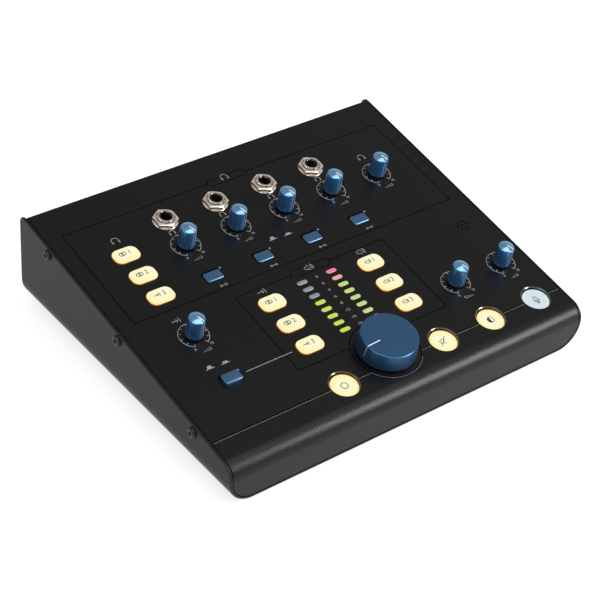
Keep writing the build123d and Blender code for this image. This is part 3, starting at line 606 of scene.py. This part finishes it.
def top_line(path, width, below, above):
    """Bmesh of a line inlaid in a top, along (radius, height) points."""
    w = width / 2
    return skin([
        [(x, -w, z - below), (x, w, z - below), (x, w, z + above), (x, -w, z + above)]
        for x, z in path
    ])


def side_line(path, inside, outside):
    """Bmesh of a line inlaid in a side, along (radius, height, width) points."""
    return skin([
        [(x - inside, -w / 2, z), (x - inside, w / 2, z), (x + outside, w / 2, z), (x + outside, -w / 2, z)]
        for x, z, w in path
    ])


def shaft(foot):
    """Round shaft from the potentiometer up into a knob's foot."""
    top = foot + 0.1 * mm
    return turned([(0, shaft_low), (shaft_radius, shaft_low), (shaft_radius, top), (0, top)], 48)


def fit_part(name, part, shape, material, slot, place, crease=32):
    """Fits a bmesh as one part of a control, for the CAD node that has the name of its body."""
    fit(name + part, shaped(name + part, shape, material, crease), name, slot, name, place=place)


pointer_reach = [dome_radius * share for share in (0.02, 0.25, 0.45, 0.65, 0.85, 1.0)]
pointer_path = [(reach, dome_height(reach)) for reach in pointer_reach]
side_path = [
    (knob_radius - 0.1 * mm, 2.2 * mm, pointer_width / 2),
    (knob_top_radius - 0.03 * mm, knob_shoulder - 0.3 * mm, pointer_width / 2),
]
upright = panel.to_quaternion().to_matrix().to_4x4()
for name in small_knobs:
    place = Matrix.Translation(joints[name + "_turn"]["pos_m"]) @ upright
    pointed = place @ Matrix.Rotation(pointer_turn, 4, "Z")
    for part, shape, material, at in (
        ("_cap", small_knob(), bright_blue_anodise, place),
        ("_dome", dome(), polished_blue_anodise, place),
        ("_pointer", top_line(pointer_path, pointer_width, 0.05 * mm, 0.04 * mm), white_ink, pointed),
        ("_side_mark", side_line(side_path, 0.2 * mm, 0.05 * mm), white_ink, pointed),
        ("_shaft", shaft(knob_foot), turned_steel, place),
    ):
        fit_part(name, part, shape, material, "small_knob_blue", at)

# -------------------------------- main knob
# The volume knob is turned aluminium, anodised blue: a satin top, a narrow bevel,
# a side of fine straight knurls, and a white pointer that runs from the top down the side.
main_radius = 16.2 * mm
main_top_radius = 15.1 * mm
main_foot = 0.8 * mm
main_top = 10.1 * mm
bevel = 0.36 * mm
bevel_drop = 0.22 * mm
bevel_crease = 25
hub_radius = 5.2 * mm
skirt_inner = 14.0 * mm
hollow_top = 5.3 * mm
knurl_count = 132
knurl_radius = 0.26 * mm
main_pointer_start = 6.6 * mm
main_pointer_turn = math.radians(183)
main_pointer_width = 0.5 * mm
wall_low = main_foot + 0.2 * mm
wall_high = main_top - bevel_drop - 0.55 * mm
wall_foot = main_radius - 0.12 * mm
wall_top = main_top_radius - 0.05 * mm

# Blue anodised aluminium: a satin metal sheen under a clear deep blue.
blue_anodised_aluminium = finish("blue_anodised_aluminium", "#3d648b", 0.3, (0.35, 0.006), Metallic=0.8)
# The same anodise made darker over the knurled wall: painted shade for the knob's side.
knurled_blue_anodise = finish("knurled_blue_anodise", "#28486e", 0.4, (0.35, 0.006), Metallic=0.7)

# The knurls stand in a ring, each leaning inwards as the wall does.
floats = dict.fromkeys(("Radius", "Knurl", "Length", "Height", "Lean"), "Float")
knurl_tree, given = new_tree("knurled_side", "Knurls", **floats, Count="Int", Finish="Material")
stations = {"Vertices": given.outputs["Count"], "Radius": given.outputs["Radius"]}
around = add(knurl_tree, "GeometryNodeMeshCircle", stations)
lift = add(knurl_tree, "ShaderNodeCombineXYZ", {"Z": given.outputs["Height"]})
lifted = {"Geometry": around.outputs[0], "Translation": lift.outputs[0]}
raised = add(knurl_tree, "GeometryNodeTransform", lifted)
rod = {"Vertices": 8, "Radius": given.outputs["Knurl"], "Depth": given.outputs["Length"]}
knurl = add(knurl_tree, "GeometryNodeMeshCylinder", rod)
order = add(knurl_tree, "GeometryNodeInputIndex")
share = add(
    knurl_tree, "ShaderNodeMath", {0: order.outputs[0], 1: given.outputs["Count"]}, operation="DIVIDE"
)
turn = add(knurl_tree, "ShaderNodeMath", {0: share.outputs[0], 1: 2 * math.pi}, operation="MULTIPLY")
back = add(knurl_tree, "ShaderNodeMath", {0: given.outputs["Lean"], 1: -1.0}, operation="MULTIPLY")
facing = add(knurl_tree, "ShaderNodeCombineXYZ", {"Y": back.outputs[0], "Z": turn.outputs[0]})
row = {"Points": raised.outputs[0], "Instance": knurl.outputs["Mesh"], "Rotation": facing.outputs[0]}
end_tree(knurl_tree, given, add(knurl_tree, "GeometryNodeInstanceOnPoints", row))
knurl_sizes = {
    "Radius": (wall_foot + wall_top) / 2 - knurl_radius * 0.6,
    "Knurl": knurl_radius,
    "Length": wall_high - wall_low - 0.2 * mm,
    "Height": (wall_low + wall_high) / 2,
    "Lean": math.atan((wall_foot - wall_top) / (wall_high - wall_low)),
    "Count": knurl_count,
    "Finish": knurled_blue_anodise,
}

main_profile = [
    (0, main_foot),
    (hub_radius, main_foot),
    (hub_radius, hollow_top),
    (skirt_inner, hollow_top),
    (skirt_inner, main_foot),
    (wall_foot - 0.2 * mm, main_foot),
    (wall_foot, wall_low),
    (wall_top, wall_high),
    (main_top_radius + 0.04 * mm, wall_high + 0.15 * mm),
    (main_top_radius, main_top - bevel_drop),
    (main_top_radius - bevel, main_top),
    (0, main_top),
]
top_path = [(main_pointer_start, main_top), (main_top_radius - bevel, main_top)]
side_path = [
    (main_top_radius, main_top - bevel_drop, main_pointer_width * 0.35),
    (wall_foot - 0.22 * mm, 3.4 * mm, main_pointer_width * 0.15),
]
pointed = panel @ Matrix.Rotation(main_pointer_turn, 4, "Z")
knurl_seed = show("knurl_seed", bpy.data.meshes.new("knurl_seed"))
main_cap = turned(main_profile, 128)
fit_part("main_knob", "_cap", main_cap, blue_anodised_aluminium, "main_knob_blue", panel, bevel_crease)
knurls_mesh = grown("main_knob_knurls", knurl_seed, knurl_tree, knurl_sizes)
fit("main_knob_knurls", knurls_mesh, "main_knob", "main_knob_blue", "main_knob", place=panel)
for part, shape, material, at in (
    ("_pointer", top_line(top_path, main_pointer_width, 0.06 * mm, 0.06 * mm), white_ink, pointed),
    ("_side_mark", side_line(side_path, 0.3 * mm, 0.06 * mm), white_ink, pointed),
    ("_shaft", shaft(main_foot), turned_steel, panel),
):
    fit_part("main_knob", part, shape, material, "main_knob_blue", at)


# ----------------------- lit square buttons
# Nine caps of clear polycarbonate with a milky core, lit from below by warm lamps.
# A flange under the sheet keeps each one in, and its hole leaves a gap that glows amber.
def on_panel(node):
    """Place on the panel's surface over the middle of a CAD node, with its local Z outwards."""
    low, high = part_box(node)
    middle = on_flat @ ((low + high) / 2)
    return panel @ Matrix.Translation((middle.x, middle.y, 0))


def rounded(width, length, radius, height, steps=5):
    """Points of a level rectangle with rounded corners."""
    points = []
    for quarter, (sx, sy) in enumerate(((1, 1), (-1, 1), (-1, -1), (1, -1))):
        for i in range(steps + 1):
            turn = math.pi / 2 * (quarter + i / steps)
            x = sx * (width / 2 - radius) + radius * math.cos(turn)
            points.append((x, sy * (length / 2 - radius) + radius * math.sin(turn), height))
    return points


def pad(width, length, radius, levels):
    """Bmesh of a rounded block from (inset, height) levels."""
    rings = []
    for inset, height in levels:
        corner = max(radius - inset, 0.05 * mm)
        rings.append(rounded(width - 2 * inset, length - 2 * inset, corner, height))
    return skin(rings)


def eased(top, *steps):
    """(inset, height) levels of a block's upper edge, from (inset, drop) steps in millimetres."""
    return [(inset * mm, top - drop * mm) for inset, drop in steps]


def noted(mesh, name, rule):
    """Stores one number for each point of a mesh, for its material to read."""
    notes = mesh.attributes.new(name, "FLOAT", "POINT")
    for entry, vertex in zip(notes.data, mesh.vertices):
        entry.value = rule(vertex.co)


def glowing(name, colour, stops, strength):
    """Plastic lit from inside, as its points' 'rim' says: 0 in the middle, 1 at the edge, 2 on the side."""
    material = finish(name, colour, 0.3, Emission_Strength=strength)
    tree = material.node_tree
    rim = add(tree, "ShaderNodeAttribute", attribute_name="rim")
    half = add(tree, "ShaderNodeMath", {0: rim.outputs["Fac"], 1: 0.5}, operation="MULTIPLY")
    ramp = add(tree, "ShaderNodeValToRGB", {"Fac": half.outputs[0]})
    while len(ramp.color_ramp.elements) < len(stops):
        ramp.color_ramp.elements.new(0.5)
    for stop, (position, colour) in zip(ramp.color_ramp.elements, stops):
        stop.position = position / 2
        stop.color = linear(colour)
    lead(ramp.outputs["Color"], material, "Emission Color")
    return material


lit_width = 14.7 * mm
lit_length = 9.7 * mm
lit_corner = 3.8 * mm
lit_top = 0.8 * mm
cap_low = -3.5 * mm
flange_margin = 0.9 * mm
flange_top = -1.9 * mm
stem_width = 3.6 * mm
stem_corner = 0.2 * mm
stem_low = -9.2 * mm
lit_buttons = [name for name in frame["bodies"] if "source_button" in name or "speaker_button" in name]

# Frosted polycarbonate over warm lamps: creamy white, yellower towards its rim, amber on its side.
lit_stops = [(0, "#fffbe2"), (0.7, "#fff6c2"), (1.0, "#ffeca0"), (1.25, "#f0b850"), (2, "#6e2c0c")]
warm_lit_polycarbonate = glowing("warm_lit_polycarbonate", "#1c160c", lit_stops, 0.97)


def lit_rim(point):
    """How near a point of a square cap is to its rim; the lamp sits under its back right quarter."""
    if point.z < lit_top - 0.3 * mm:
        return 2 - 0.75 * max(0, point.z) / (lit_top - 0.35 * mm)
    across, along = point.x / lit_width * 2, point.y / lit_length * 2
    return max(0, max(abs(across), abs(along)) * 0.8 - 0.15 * (across + along))


def fit_stem(name, low, slot, place):
    """Square nylon stem under a cap, down to its switch."""
    stem = skin([rounded(stem_width, stem_width, stem_corner, height) for height in (low, cap_low)])
    fit_part(name, "_stem", stem, black_nylon, slot, place)


skirt = [(-flange_margin, cap_low), (-flange_margin, flange_top), (0, flange_top), (0, -0.2 * mm)]
shoulder = eased(lit_top, (0, 0.35), (0.06, 0.15), (0.2, 0.03), (0.5, 0))
crown = [(inset * mm, lit_top + 0.06 * mm * inset / 4.4) for inset in (1.1, 2, 3, 3.9, 4.4)]
for name in lit_buttons:
    cap = pad(lit_width, lit_length, lit_corner, skirt + shoulder + crown)
    cap_mesh = shaped(name + "_cap", cap, warm_lit_polycarbonate)
    noted(cap_mesh, "rim", lit_rim)
    fit(name + "_cap", cap_mesh, name, "lit_cap", name, place=on_panel(name))
    fit_stem(name, stem_low, "lit_cap", on_panel(name))

# ---------------------------- round buttons
# Four milky discs sit below the surface, each in a dark chromed sleeve pushed up through
# the sheet. Three are lit warm, and the talk button is lit white.
disc_radius = 7.45 * mm
disc_top = -1.1 * mm
round_buttons = ["mono_button", "mute_button", "dim_button", "talk_button"]

# Milky polycarbonate over warm lamps: creamy white, with a thin amber rim.
disc_stops = [(0, "#fffbe0"), (0.7, "#fff8c8"), (0.95, "#fff0a8"), (1.05, "#f0b050"), (2, "#a85414")]
warm_lit_disc = glowing("warm_lit_disc", "#1c160c", disc_stops, 0.97)
# The same over a white lamp: cool and pale, and grey on its side.
cool_stops = [(0, "#d8e8f0"), (0.8, "#dcebf5"), (0.97, "#e8f4f8"), (1.1, "#9fb4bd"), (2, "#3c474c")]
cool_lit_disc = glowing("cool_lit_disc", "#14181a", cool_stops, 0.9)

# Black chrome: a clear dark mirror, which shows the room as a grey crescent.
black_chrome = finish("black_chrome", "#7a766f", 0.2, (0.6, 0.002), Metallic=1.0)
dress(black_chrome, "round_button_bezels")


def disc_rim(point):
    """How near a point of a disc is to its rim."""
    if point.z < disc_top - 0.3 * mm:
        return 2
    return math.hypot(point.x, point.y) / disc_radius


disc_profile = [
    (0, cap_low),
    (disc_radius, cap_low),
    (disc_radius, disc_top - 0.4 * mm),
    (disc_radius - 0.1 * mm, disc_top - 0.12 * mm),
    (disc_radius - 0.4 * mm, disc_top),
    (disc_radius * 0.8, disc_top + 0.03 * mm),
    (disc_radius * 0.4, disc_top + 0.05 * mm),
    (0, disc_top + 0.06 * mm),
]
for name in round_buttons:
    material = cool_lit_disc if name == "talk_button" else warm_lit_disc
    disc_mesh = shaped(name + "_disc", turned(disc_profile, 96), material)
    noted(disc_mesh, "rim", disc_rim)
    fit(name + "_disc", disc_mesh, name, "white_cap", name, place=on_panel(name))
    fit_stem(name, stem_low, "white_cap", on_panel(name))

# ---------------------------- blue switches
# Five push-push switches with oblong caps of moulded plastic. Four are latched down, and the
# one at the left stands up by its travel.
latch_names = [name for name in frame["bodies"] if "switch_button" in name]
switch_width = 10.0 * mm
switch_length = 6.3 * mm
switch_corner = 1.0 * mm
switch_top = 0.7 * mm
switch_crease = 25
latch_travel = 1.6 * mm
switch_stem_low = -8.6 * mm

# Blue pearl lacquer: deep blue flat on, with a pale metallic line along the edge that turns to the light.
blue_pearl_lacquer = finish("blue_pearl_lacquer", "#4f7398", 0.24, (0.8, 0.002), Metallic=0.75)

switch_edge = eased(switch_top, (0, 0.42), (0.12, 0.22), (0.32, 0.07), (0.6, 0), (2.6, 0))
for name in latch_names:
    place = on_panel(name) @ Matrix.Translation((0, 0, latch_travel if name == "aux_switch_button" else 0))
    cap = pad(switch_width, switch_length, switch_corner, [(0, cap_low), *switch_edge])
    fit_part(name, "_cap", cap, blue_pearl_lacquer, "blue_cap", place, switch_crease)
    fit_stem(name, switch_stem_low, "blue_cap", place)

# -------------------------------- bar meter
# Two columns of eight light bars, moulded in tinted epoxy, that end in soft lenses
# at the surface. Three on the left are off, and two on the right are red.
pill_width = 6.4 * mm
pill_length = 2.6 * mm
pill_low = -12.0 * mm
pill_top = 0.1 * mm
lens_height = 0.22 * mm
meter_pitch = 5.27 * mm
meter_first = 57.2 * mm
meter_numbers = ("0", "-2", "-4", "-6", "-8", "-12", "-16", "-24")


def tinted(name, first, last, edge):
    """Lit epoxy whose colour runs from the first bar to the last as 'age' does, darker at the edge."""
    material = finish(name, "#101408", 0.25, Emission_Strength=0.95)
    tree = material.node_tree
    age = add(tree, "ShaderNodeAttribute", attribute_name="age").outputs["Fac"]
    rim = add(tree, "ShaderNodeAttribute", attribute_name="rim").outputs["Fac"]
    tint = add(tree, "ShaderNodeMix", {"Factor": age, 6: linear(first), 7: linear(last)}, data_type="RGBA")
    near = add(tree, "ShaderNodeMapRange", {0: rim, 1: 0.55, 2: 1.1}, interpolation_type="SMOOTHSTEP")
    edged = {"Factor": near.outputs[0], 6: tint.outputs[2], 7: linear(edge)}
    lens = add(tree, "ShaderNodeMix", edged, data_type="RGBA")
    lead(lens.outputs[2], material, "Emission Color")
    return material


# Tinted epoxy over a lamp: lime green or rose, even, with a darker edge where the lens turns down.
green_epoxy = tinted("green_lit_epoxy", "#c6e446", "#c3d893", "#5f7420")
red_epoxy = tinted("red_lit_epoxy", "#f57f9c", "#f2ab9c", "#7a2c3a")
# Clouded clear epoxy, unlit: grey-blue, with the wet shine of a cast lens.
clouded_epoxy = finish("clouded_epoxy", "#7b8794", 0.3, (0.8, 0.01))


def lens_rim(point):
    """How near a point of a bar's lens is to its rim."""
    return 2 if point.z < 0 else 1 - (point.z / (pill_top + lens_height)) ** 2


lens = eased(pill_top, (0.1, 0), (0.35, -0.12), (0.75, -0.2), (1.2, -0.22))
pill = shaped("pill", pad(pill_width, pill_length, pill_length / 2, [(0, pill_low), (0, 0), *lens]))
noted(pill, "rim", lens_rim)
bar_coats = {
    "meter_leds_off": (clouded_epoxy, "led_off"),
    "meter_leds_red": (red_epoxy, "led_red"),
    "meter_leds_green": (green_epoxy, "led_green"),
}
bar_groups = {kind: [] for kind in bar_coats}
columns = ((-10.4 * mm, "meter_leds_off", 3), (8.6 * mm, "meter_leds_red", 2))
for column, (x, top_kind, top_count) in enumerate(columns):
    for row in range(len(meter_numbers)):
        kind = top_kind if row < top_count else "meter_leds_green"
        age = float(row) if kind == "meter_leds_red" else column * min(1, 0.2 + row / 8)
        bar_groups[kind].append((panel @ Matrix.Translation((x, meter_first - row * meter_pitch, 0)), age))
for kind, bars in bar_groups.items():
    coat, slot = bar_coats[kind]
    bars_mesh = copies(kind + "_bars", pill.copy(), [place for place, _ in bars], coat)
    points_each = len(bars_mesh.vertices) // len(bars)
    ages = bars_mesh.attributes.new("age", "FLOAT", "POINT")
    for i, entry in enumerate(ages.data):
        entry.value = bars[i // points_each][1]
    fit(kind + "_bars", bars_mesh, "casing", slot, kind)

# ----------------------------------- prints
# Light grey screen print on the black coat: rings and ticks round the knobs, numbers,
# and small pictures in place of words. The ink stands a few hundredths of a millimetre proud.
ink_height = 0.04 * mm
line_width = 0.34 * mm
ring_radius = 7.95 * mm
ring_start = -61
ring_end = 241
tick_count = 11
tick_reach = (6.45 * mm, ring_radius)

# Epoxy screen ink: matt, slightly uneven grey.
grey_screen_ink = finish("grey_screen_ink", "#9a9a98", 0.6)
tree = grey_screen_ink.node_tree
where = add(tree, "ShaderNodeTexCoord").outputs["Object"]
cover = add(tree, "ShaderNodeTexNoise", {"Vector": where, "Scale": 1 / (0.8 * mm)}).outputs["Fac"]
tones = {"Factor": cover, 6: linear("#8a8a88"), 7: linear("#a6a6a4")}
shade = add(tree, "ShaderNodeMix", tones, data_type="RGBA")
lead(shade.outputs[2], grey_screen_ink, "Base Color")

# This tree gives each line of a curve a rectangular section.
line_tree, given = new_tree(
    "printed_lines", "Ink", Lines="Geometry", Width="Float", Height="Float", Finish="Material"
)
flat = add(line_tree, "GeometryNodeSetCurveNormal", {"Curve": given.outputs["Lines"]}, mode="Z_UP")
section = add(
    line_tree,
    "GeometryNodeCurvePrimitiveQuadrilateral",
    {"Width": given.outputs["Width"], "Height": given.outputs["Height"]},
)
swept = {"Curve": flat.outputs[0], "Profile Curve": section.outputs[0], "Fill Caps": True}
end_tree(line_tree, given, add(line_tree, "GeometryNodeCurveToMesh", swept))


def printed(name, lines, width, ink=grey_screen_ink):
    """Mesh of ink lines along lists of flat points; a list that ends where it starts is a loop."""
    curve = bpy.data.curves.new(name, "CURVE")
    curve.dimensions = "3D"
    for points in lines:
        loop = math.dist(points[0], points[-1]) < 1e-6
        points = points[:-1] if loop else points
        spline = curve.splines.new("POLY")
        spline.points.add(len(points) - 1)
        for knot, (x, y) in zip(spline.points, points):
            knot.co = (x, y, 0, 1)
        spline.use_cyclic_u = loop
    sizes = {"Width": width, "Height": ink_height, "Finish": ink}
    return grown(name, show(name, curve), line_tree, sizes)


def number(text, height, x, y, ink=grey_screen_ink):
    """Mesh of flat figures, centred on a place."""
    curve = bpy.data.curves.new("figures", "FONT")
    curve.body = text
    curve.size = height * 1.4
    curve.extrude = ink_height / 2
    curve.align_x = "CENTER"
    curve.align_y = "CENTER"
    source = show("figures", curve)
    bpy.context.view_layer.update()
    mesh = bpy.data.meshes.new_from_object(source.evaluated_get(bpy.context.evaluated_depsgraph_get()))
    bpy.data.objects.remove(source)
    mesh.transform(Matrix.Translation((x, y, 0)))
    mesh.materials.clear()
    mesh.materials.append(ink)
    return mesh


def fit_print(name, inks, body, slot, place):
    """Fits several meshes of one ink, made into one mesh, at a place."""
    shape = bmesh.new()
    for mesh in inks:
        shape.from_mesh(mesh)
    whole = bpy.data.meshes.new(name)
    shape.to_mesh(whole)
    shape.free()
    whole.materials.append(inks[0].materials[0])
    fit(name, whole, body, slot, place=place)


def sweep(x, y, radius, start, end, steps=24):
    """Flat points along an arc, with its angles in degrees."""
    turns = [math.radians(start + (end - start) * i / steps) for i in range(steps + 1)]
    return [(x + radius * math.cos(t), y + radius * math.sin(t)) for t in turns]


def spot(node):
    """Flat place of a CAD node on the panel."""
    place = on_flat @ on_panel(node).translation
    return place.x, place.y


def moved(glyph, x, y, scale=1.0):
    """A small picture's lines, which are given in millimetres, at a place on the flat."""
    return [[(x + px * mm * scale, y + py * mm * scale) for px, py in line] for line in glyph]


def switch_side(rows):
    """A push switch seen from its side: the panel, and a button that stands up by rows of ink."""
    button = [[(-1.2 + 0.12 * i, -0.6 + 0.28 * i), (1.2 - 0.12 * i, -0.6 + 0.28 * i)] for i in range(rows)]
    return [[(-2.0, -0.9), (2.0, -0.9)], *button]


speaker = [[(-1.7, 0.6), (-0.8, 0.6), (0.4, 1.5), (0.4, -1.5), (-0.8, -0.6), (-1.7, -0.6), (-1.7, 0.6)]]
circle = [sweep(0, 0, 1.5, 0, 360, 24)]
glyphs = {
    "headphones": [
        sweep(0, 0, 1.6, 0, 180, 14),
        *[[(x, y), (x, -1.4)] for x, y in ((-1.6, 0), (1.6, 0), (-1.25, -0.2), (1.25, -0.2))],
    ],
    "speaker": [*speaker, sweep(0.4, 0, 1.1, -50, 50, 8), sweep(0.4, 0, 1.8, -50, 50, 8)],
    "muted_speaker": [*speaker, [(-2.0, -1.9), (2.0, 1.9)]],
    "microphone": [
        sweep(0, 0.9, 0.7, 0, 180, 8) + sweep(0, -0.2, 0.7, 180, 360, 8) + [(0.7, 0.9)],
        sweep(0, -0.2, 1.35, 180, 360, 12),
        [(0, -1.55), (0, -2.2)],
        [(-0.8, -2.2), (0.8, -2.2)],
    ],
    "one_circle": circle,
    "two_circles": [sweep(-0.75, 0, 1.2, 0, 360, 20), sweep(0.75, 0, 1.2, 0, 360, 20)],
    "half_circle": [
        *circle,
        *[[(x, -h), (x, h)] for x, h in ((-0.2, 1.4), (-0.5, 1.3), (-0.8, 1.2), (-1.1, 0.95))],
    ],
    "arrow_in": [[(-2.1, 0), (0.8, 0)], [(0.0, 0.8), (0.8, 0), (0.0, -0.8)], [(1.5, 1.3), (1.5, -1.3)]],
    "arrow_two_ways": [
        [(-2.2, 0), (2.2, 0)],
        [(-1.4, 0.8), (-2.2, 0), (-1.4, -0.8)],
        [(1.4, 0.8), (2.2, 0), (1.4, -0.8)],
    ],
    "wedge_up": [[(-2.7, -0.7), (2.7, -0.7), (2.7, 0.8), (-2.7, -0.7)]],
    "wedge_down": [[(2.7, -0.7), (-2.7, -0.7), (-2.7, 0.8), (2.7, -0.7)]],
    "switch_out": switch_side(5),
    "switch_in": switch_side(3),
}

# Round each small knob: a ring, ticks inwards from it, the numbers at its ends and a wedge below.
figure_height = 1.5 * mm
figure_drop = 8.6 * mm
wedge_drop = 11.1 * mm
lines = []
figures = []
for name in small_knobs:
    x, y, _ = on_flat @ Vector(joints[name + "_turn"]["pos_m"])
    lines.append(sweep(x, y, ring_radius, ring_start, ring_end, 56))
    tick_ends = [sweep(x, y, reach, ring_start, ring_end, tick_count - 1) for reach in tick_reach]
    lines += [list(ends) for ends in zip(*tick_ends)]
    figures.append(number("0", figure_height, x - 4.6 * mm, y - figure_drop))
    figures.append(number("10", figure_height, x + 5.0 * mm, y - figure_drop))
    wedge = "wedge_down" if name == "talk_attenuation_knob" else "wedge_up"
    lines += moved(glyphs[wedge], x + 0.1 * mm, y - wedge_drop)

# Between the meter's columns: the level of each pair of bars.
level_height = 1.7 * mm
level_x = -0.9 * mm
for row, text in enumerate(meter_numbers):
    y = meter_first - row * meter_pitch - 0.1 * mm
    figures.append(number(text, level_height, level_x, y))

# A headphone picture stands behind each headphone knob, a two-way arrow before its source switch,
# and a dark line joins the switch to the knob.
dark_lines = []
for i in range(1, 5):
    x, y = spot(f"cue_knob_{i}")
    lines += moved(glyphs["headphones"], x - 1.4 * mm, y + 11.2 * mm)
    x, y = spot(f"cue_switch_button_{i}")
    lines += moved(glyphs["arrow_two_ways"], x + 1.2 * mm, y - 7.6 * mm)
    dark_lines.append([(x + 0.8 * mm, y + 10.0 * mm), (x + 0.8 * mm, y + 4.2 * mm)])

# Pictures that head a group of controls, and a small grey dot behind each switch's right end: a painted
# highlight on the corner of its hole.
header_scale = 1.3
header_places = {
    "headphones": ((78.9, 121.6), (-80.8, 125.8), (-1.1, 141.8)),
    "arrow_in": ((-84.0, 64.4), (-33.3, 61.4)),
    "speaker": ((31.4, 61.6), (-1.0, 64.8)),
    "switch_out": ((-5.2, 91.2), (-86.6, 31.4)),
    "switch_in": ((4.4, 90.7), (-77.8, 31.0)),
}
for glyph, places in header_places.items():
    for x, y in places:
        lines += moved(glyphs[glyph], x * mm, y * mm, header_scale)
# Each switch's painted highlight dot is three short grey lines.
for name in latch_names:
    x, y = spot(name)
    lines += [[(x + 5.9 * mm, y + dy * mm), (x + 6.8 * mm, y + dy * mm)] for dy in (3.3, 3.6, 3.9)]
# From the left switch, a line runs right to the source buttons.
lines.append([(-72.0 * mm, 20.5 * mm), (-44.0 * mm, 20.5 * mm)])

# A thin line of the same grey runs along the front lip of the engraved line through the round buttons and
# round the main knob: a painted highlight where the lip catches the light. It stops at each sleeve and at the
# knob's ring.
sleeve_radius = 8.6 * mm
knob_ring_reach = 16.6 * mm
lip_end = 112.0 * mm
lip_arc_end = 318
lip_y = spot("mono_button")[1] - 0.3 * mm
breaks = sorted([(0, knob_ring_reach), *[(spot(name)[0], sleeve_radius) for name in round_buttons]])
starts = [-lip_end, *[x + reach for x, reach in breaks]]
ends = [*[x - reach for x, reach in breaks], lip_end]
lip_lines = [[(start, lip_y), (end, lip_y)] for start, end in zip(starts, ends)]
lip_radius = math.hypot(knob_ring_reach, lip_y)
lip_turn = math.degrees(math.asin(-lip_y / lip_radius))
lip_lines.append(sweep(0, 0, lip_radius, 180 + lip_turn, lip_arc_end, 36))

lip_highlight_width = 0.12 * mm
inks = [printed("panel_lines", lines, line_width), printed("lip_lines", lip_lines, lip_highlight_width), *figures]
fit_print("panel_print", inks, "casing", "cover_paint", panel)

# Gloss black ink, a little darker than the coat.
gloss_black_ink = finish("gloss_black_ink", "#050505", 0.3, (0.3, 0.004))
dark_ends = printed("switch_lines", dark_lines, 0.5 * mm, gloss_black_ink)
fit_print("switch_lines", [dark_ends], "casing", "cover_paint", panel)

# Rear panel: a number over each jack, and the on and off marks beside the power switch.
rear_view = Matrix(((-1, 0, 0), (0, 0, 1), (0, 1, 0))).to_4x4()
jack_faces = sorted((place.translation for place in jack_mounts["rear"]), key=lambda point: -point.x)
rear_figure_height = 2.4 * mm
rear_figure_rise = 9.0 * mm
rear_ink = []
for i, point in enumerate(jack_faces):
    rear_ink.append(number(str(i + 1), rear_figure_height, -point.x, point.z + rear_figure_rise))
low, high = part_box("power_switch")
mark_x = -(low.x + high.x) / 2 - 11.0 * mm
mark_z = (low.z + high.z) / 2
marks = [[(mark_x, mark_z + 3.2 * mm), (mark_x, mark_z + 5.6 * mm)]]
marks.append(sweep(mark_x, mark_z - 4.4 * mm, 1.2 * mm, 0, 360, 24))
rear_ink.append(printed("switch_marks", marks, line_width))
rear_place = Matrix.Translation((0, jack_faces[0].y, 0)) @ rear_view
fit_print("rear_print", rear_ink, "casing", "cover_paint", rear_place)

# -------------------------------- cap marks
# Numbers and small pictures on the lit caps, pad-printed in dark ink. Each moves with its cap.
mark_width = 0.42 * mm
mark_rise = 0.07 * mm
mark_y = 0.9 * mm
picture_x = -1.7 * mm
figure_x = 2.4 * mm
cap_figure_height = 2.9 * mm
cap_marks = {
    "mono_button": "one_circle",
    "mute_button": "muted_speaker",
    "dim_button": "half_circle",
    "talk_button": "microphone",
}

# Dark brown ink: matt, and thin enough to take the lamp's warmth.
dark_ink = finish("dark_ink", "#332d14", 0.5, (0.3, 0.004))

for name in lit_buttons:
    text = name[-1]
    picture = "speaker" if "speaker" in name else ("arrow_in" if text == "3" else "two_circles")
    drawn = printed("picture", moved(glyphs[picture], picture_x, mark_y, 0.95), mark_width, dark_ink)
    inks = [drawn, number(text, cap_figure_height, figure_x, mark_y, dark_ink)]
    place = on_panel(name) @ Matrix.Translation((0, 0, lit_top + mark_rise))
    fit_print(name + "_mark", inks, name, "lit_cap", place)
for name, picture in cap_marks.items():
    drawn = printed("picture", moved(glyphs[picture], 0, 0, 1.25), mark_width, dark_ink)
    place = on_panel(name) @ Matrix.Translation((0, 0, disc_top + mark_rise))
    fit_print(name + "_mark", [drawn], name, "white_cap", place)
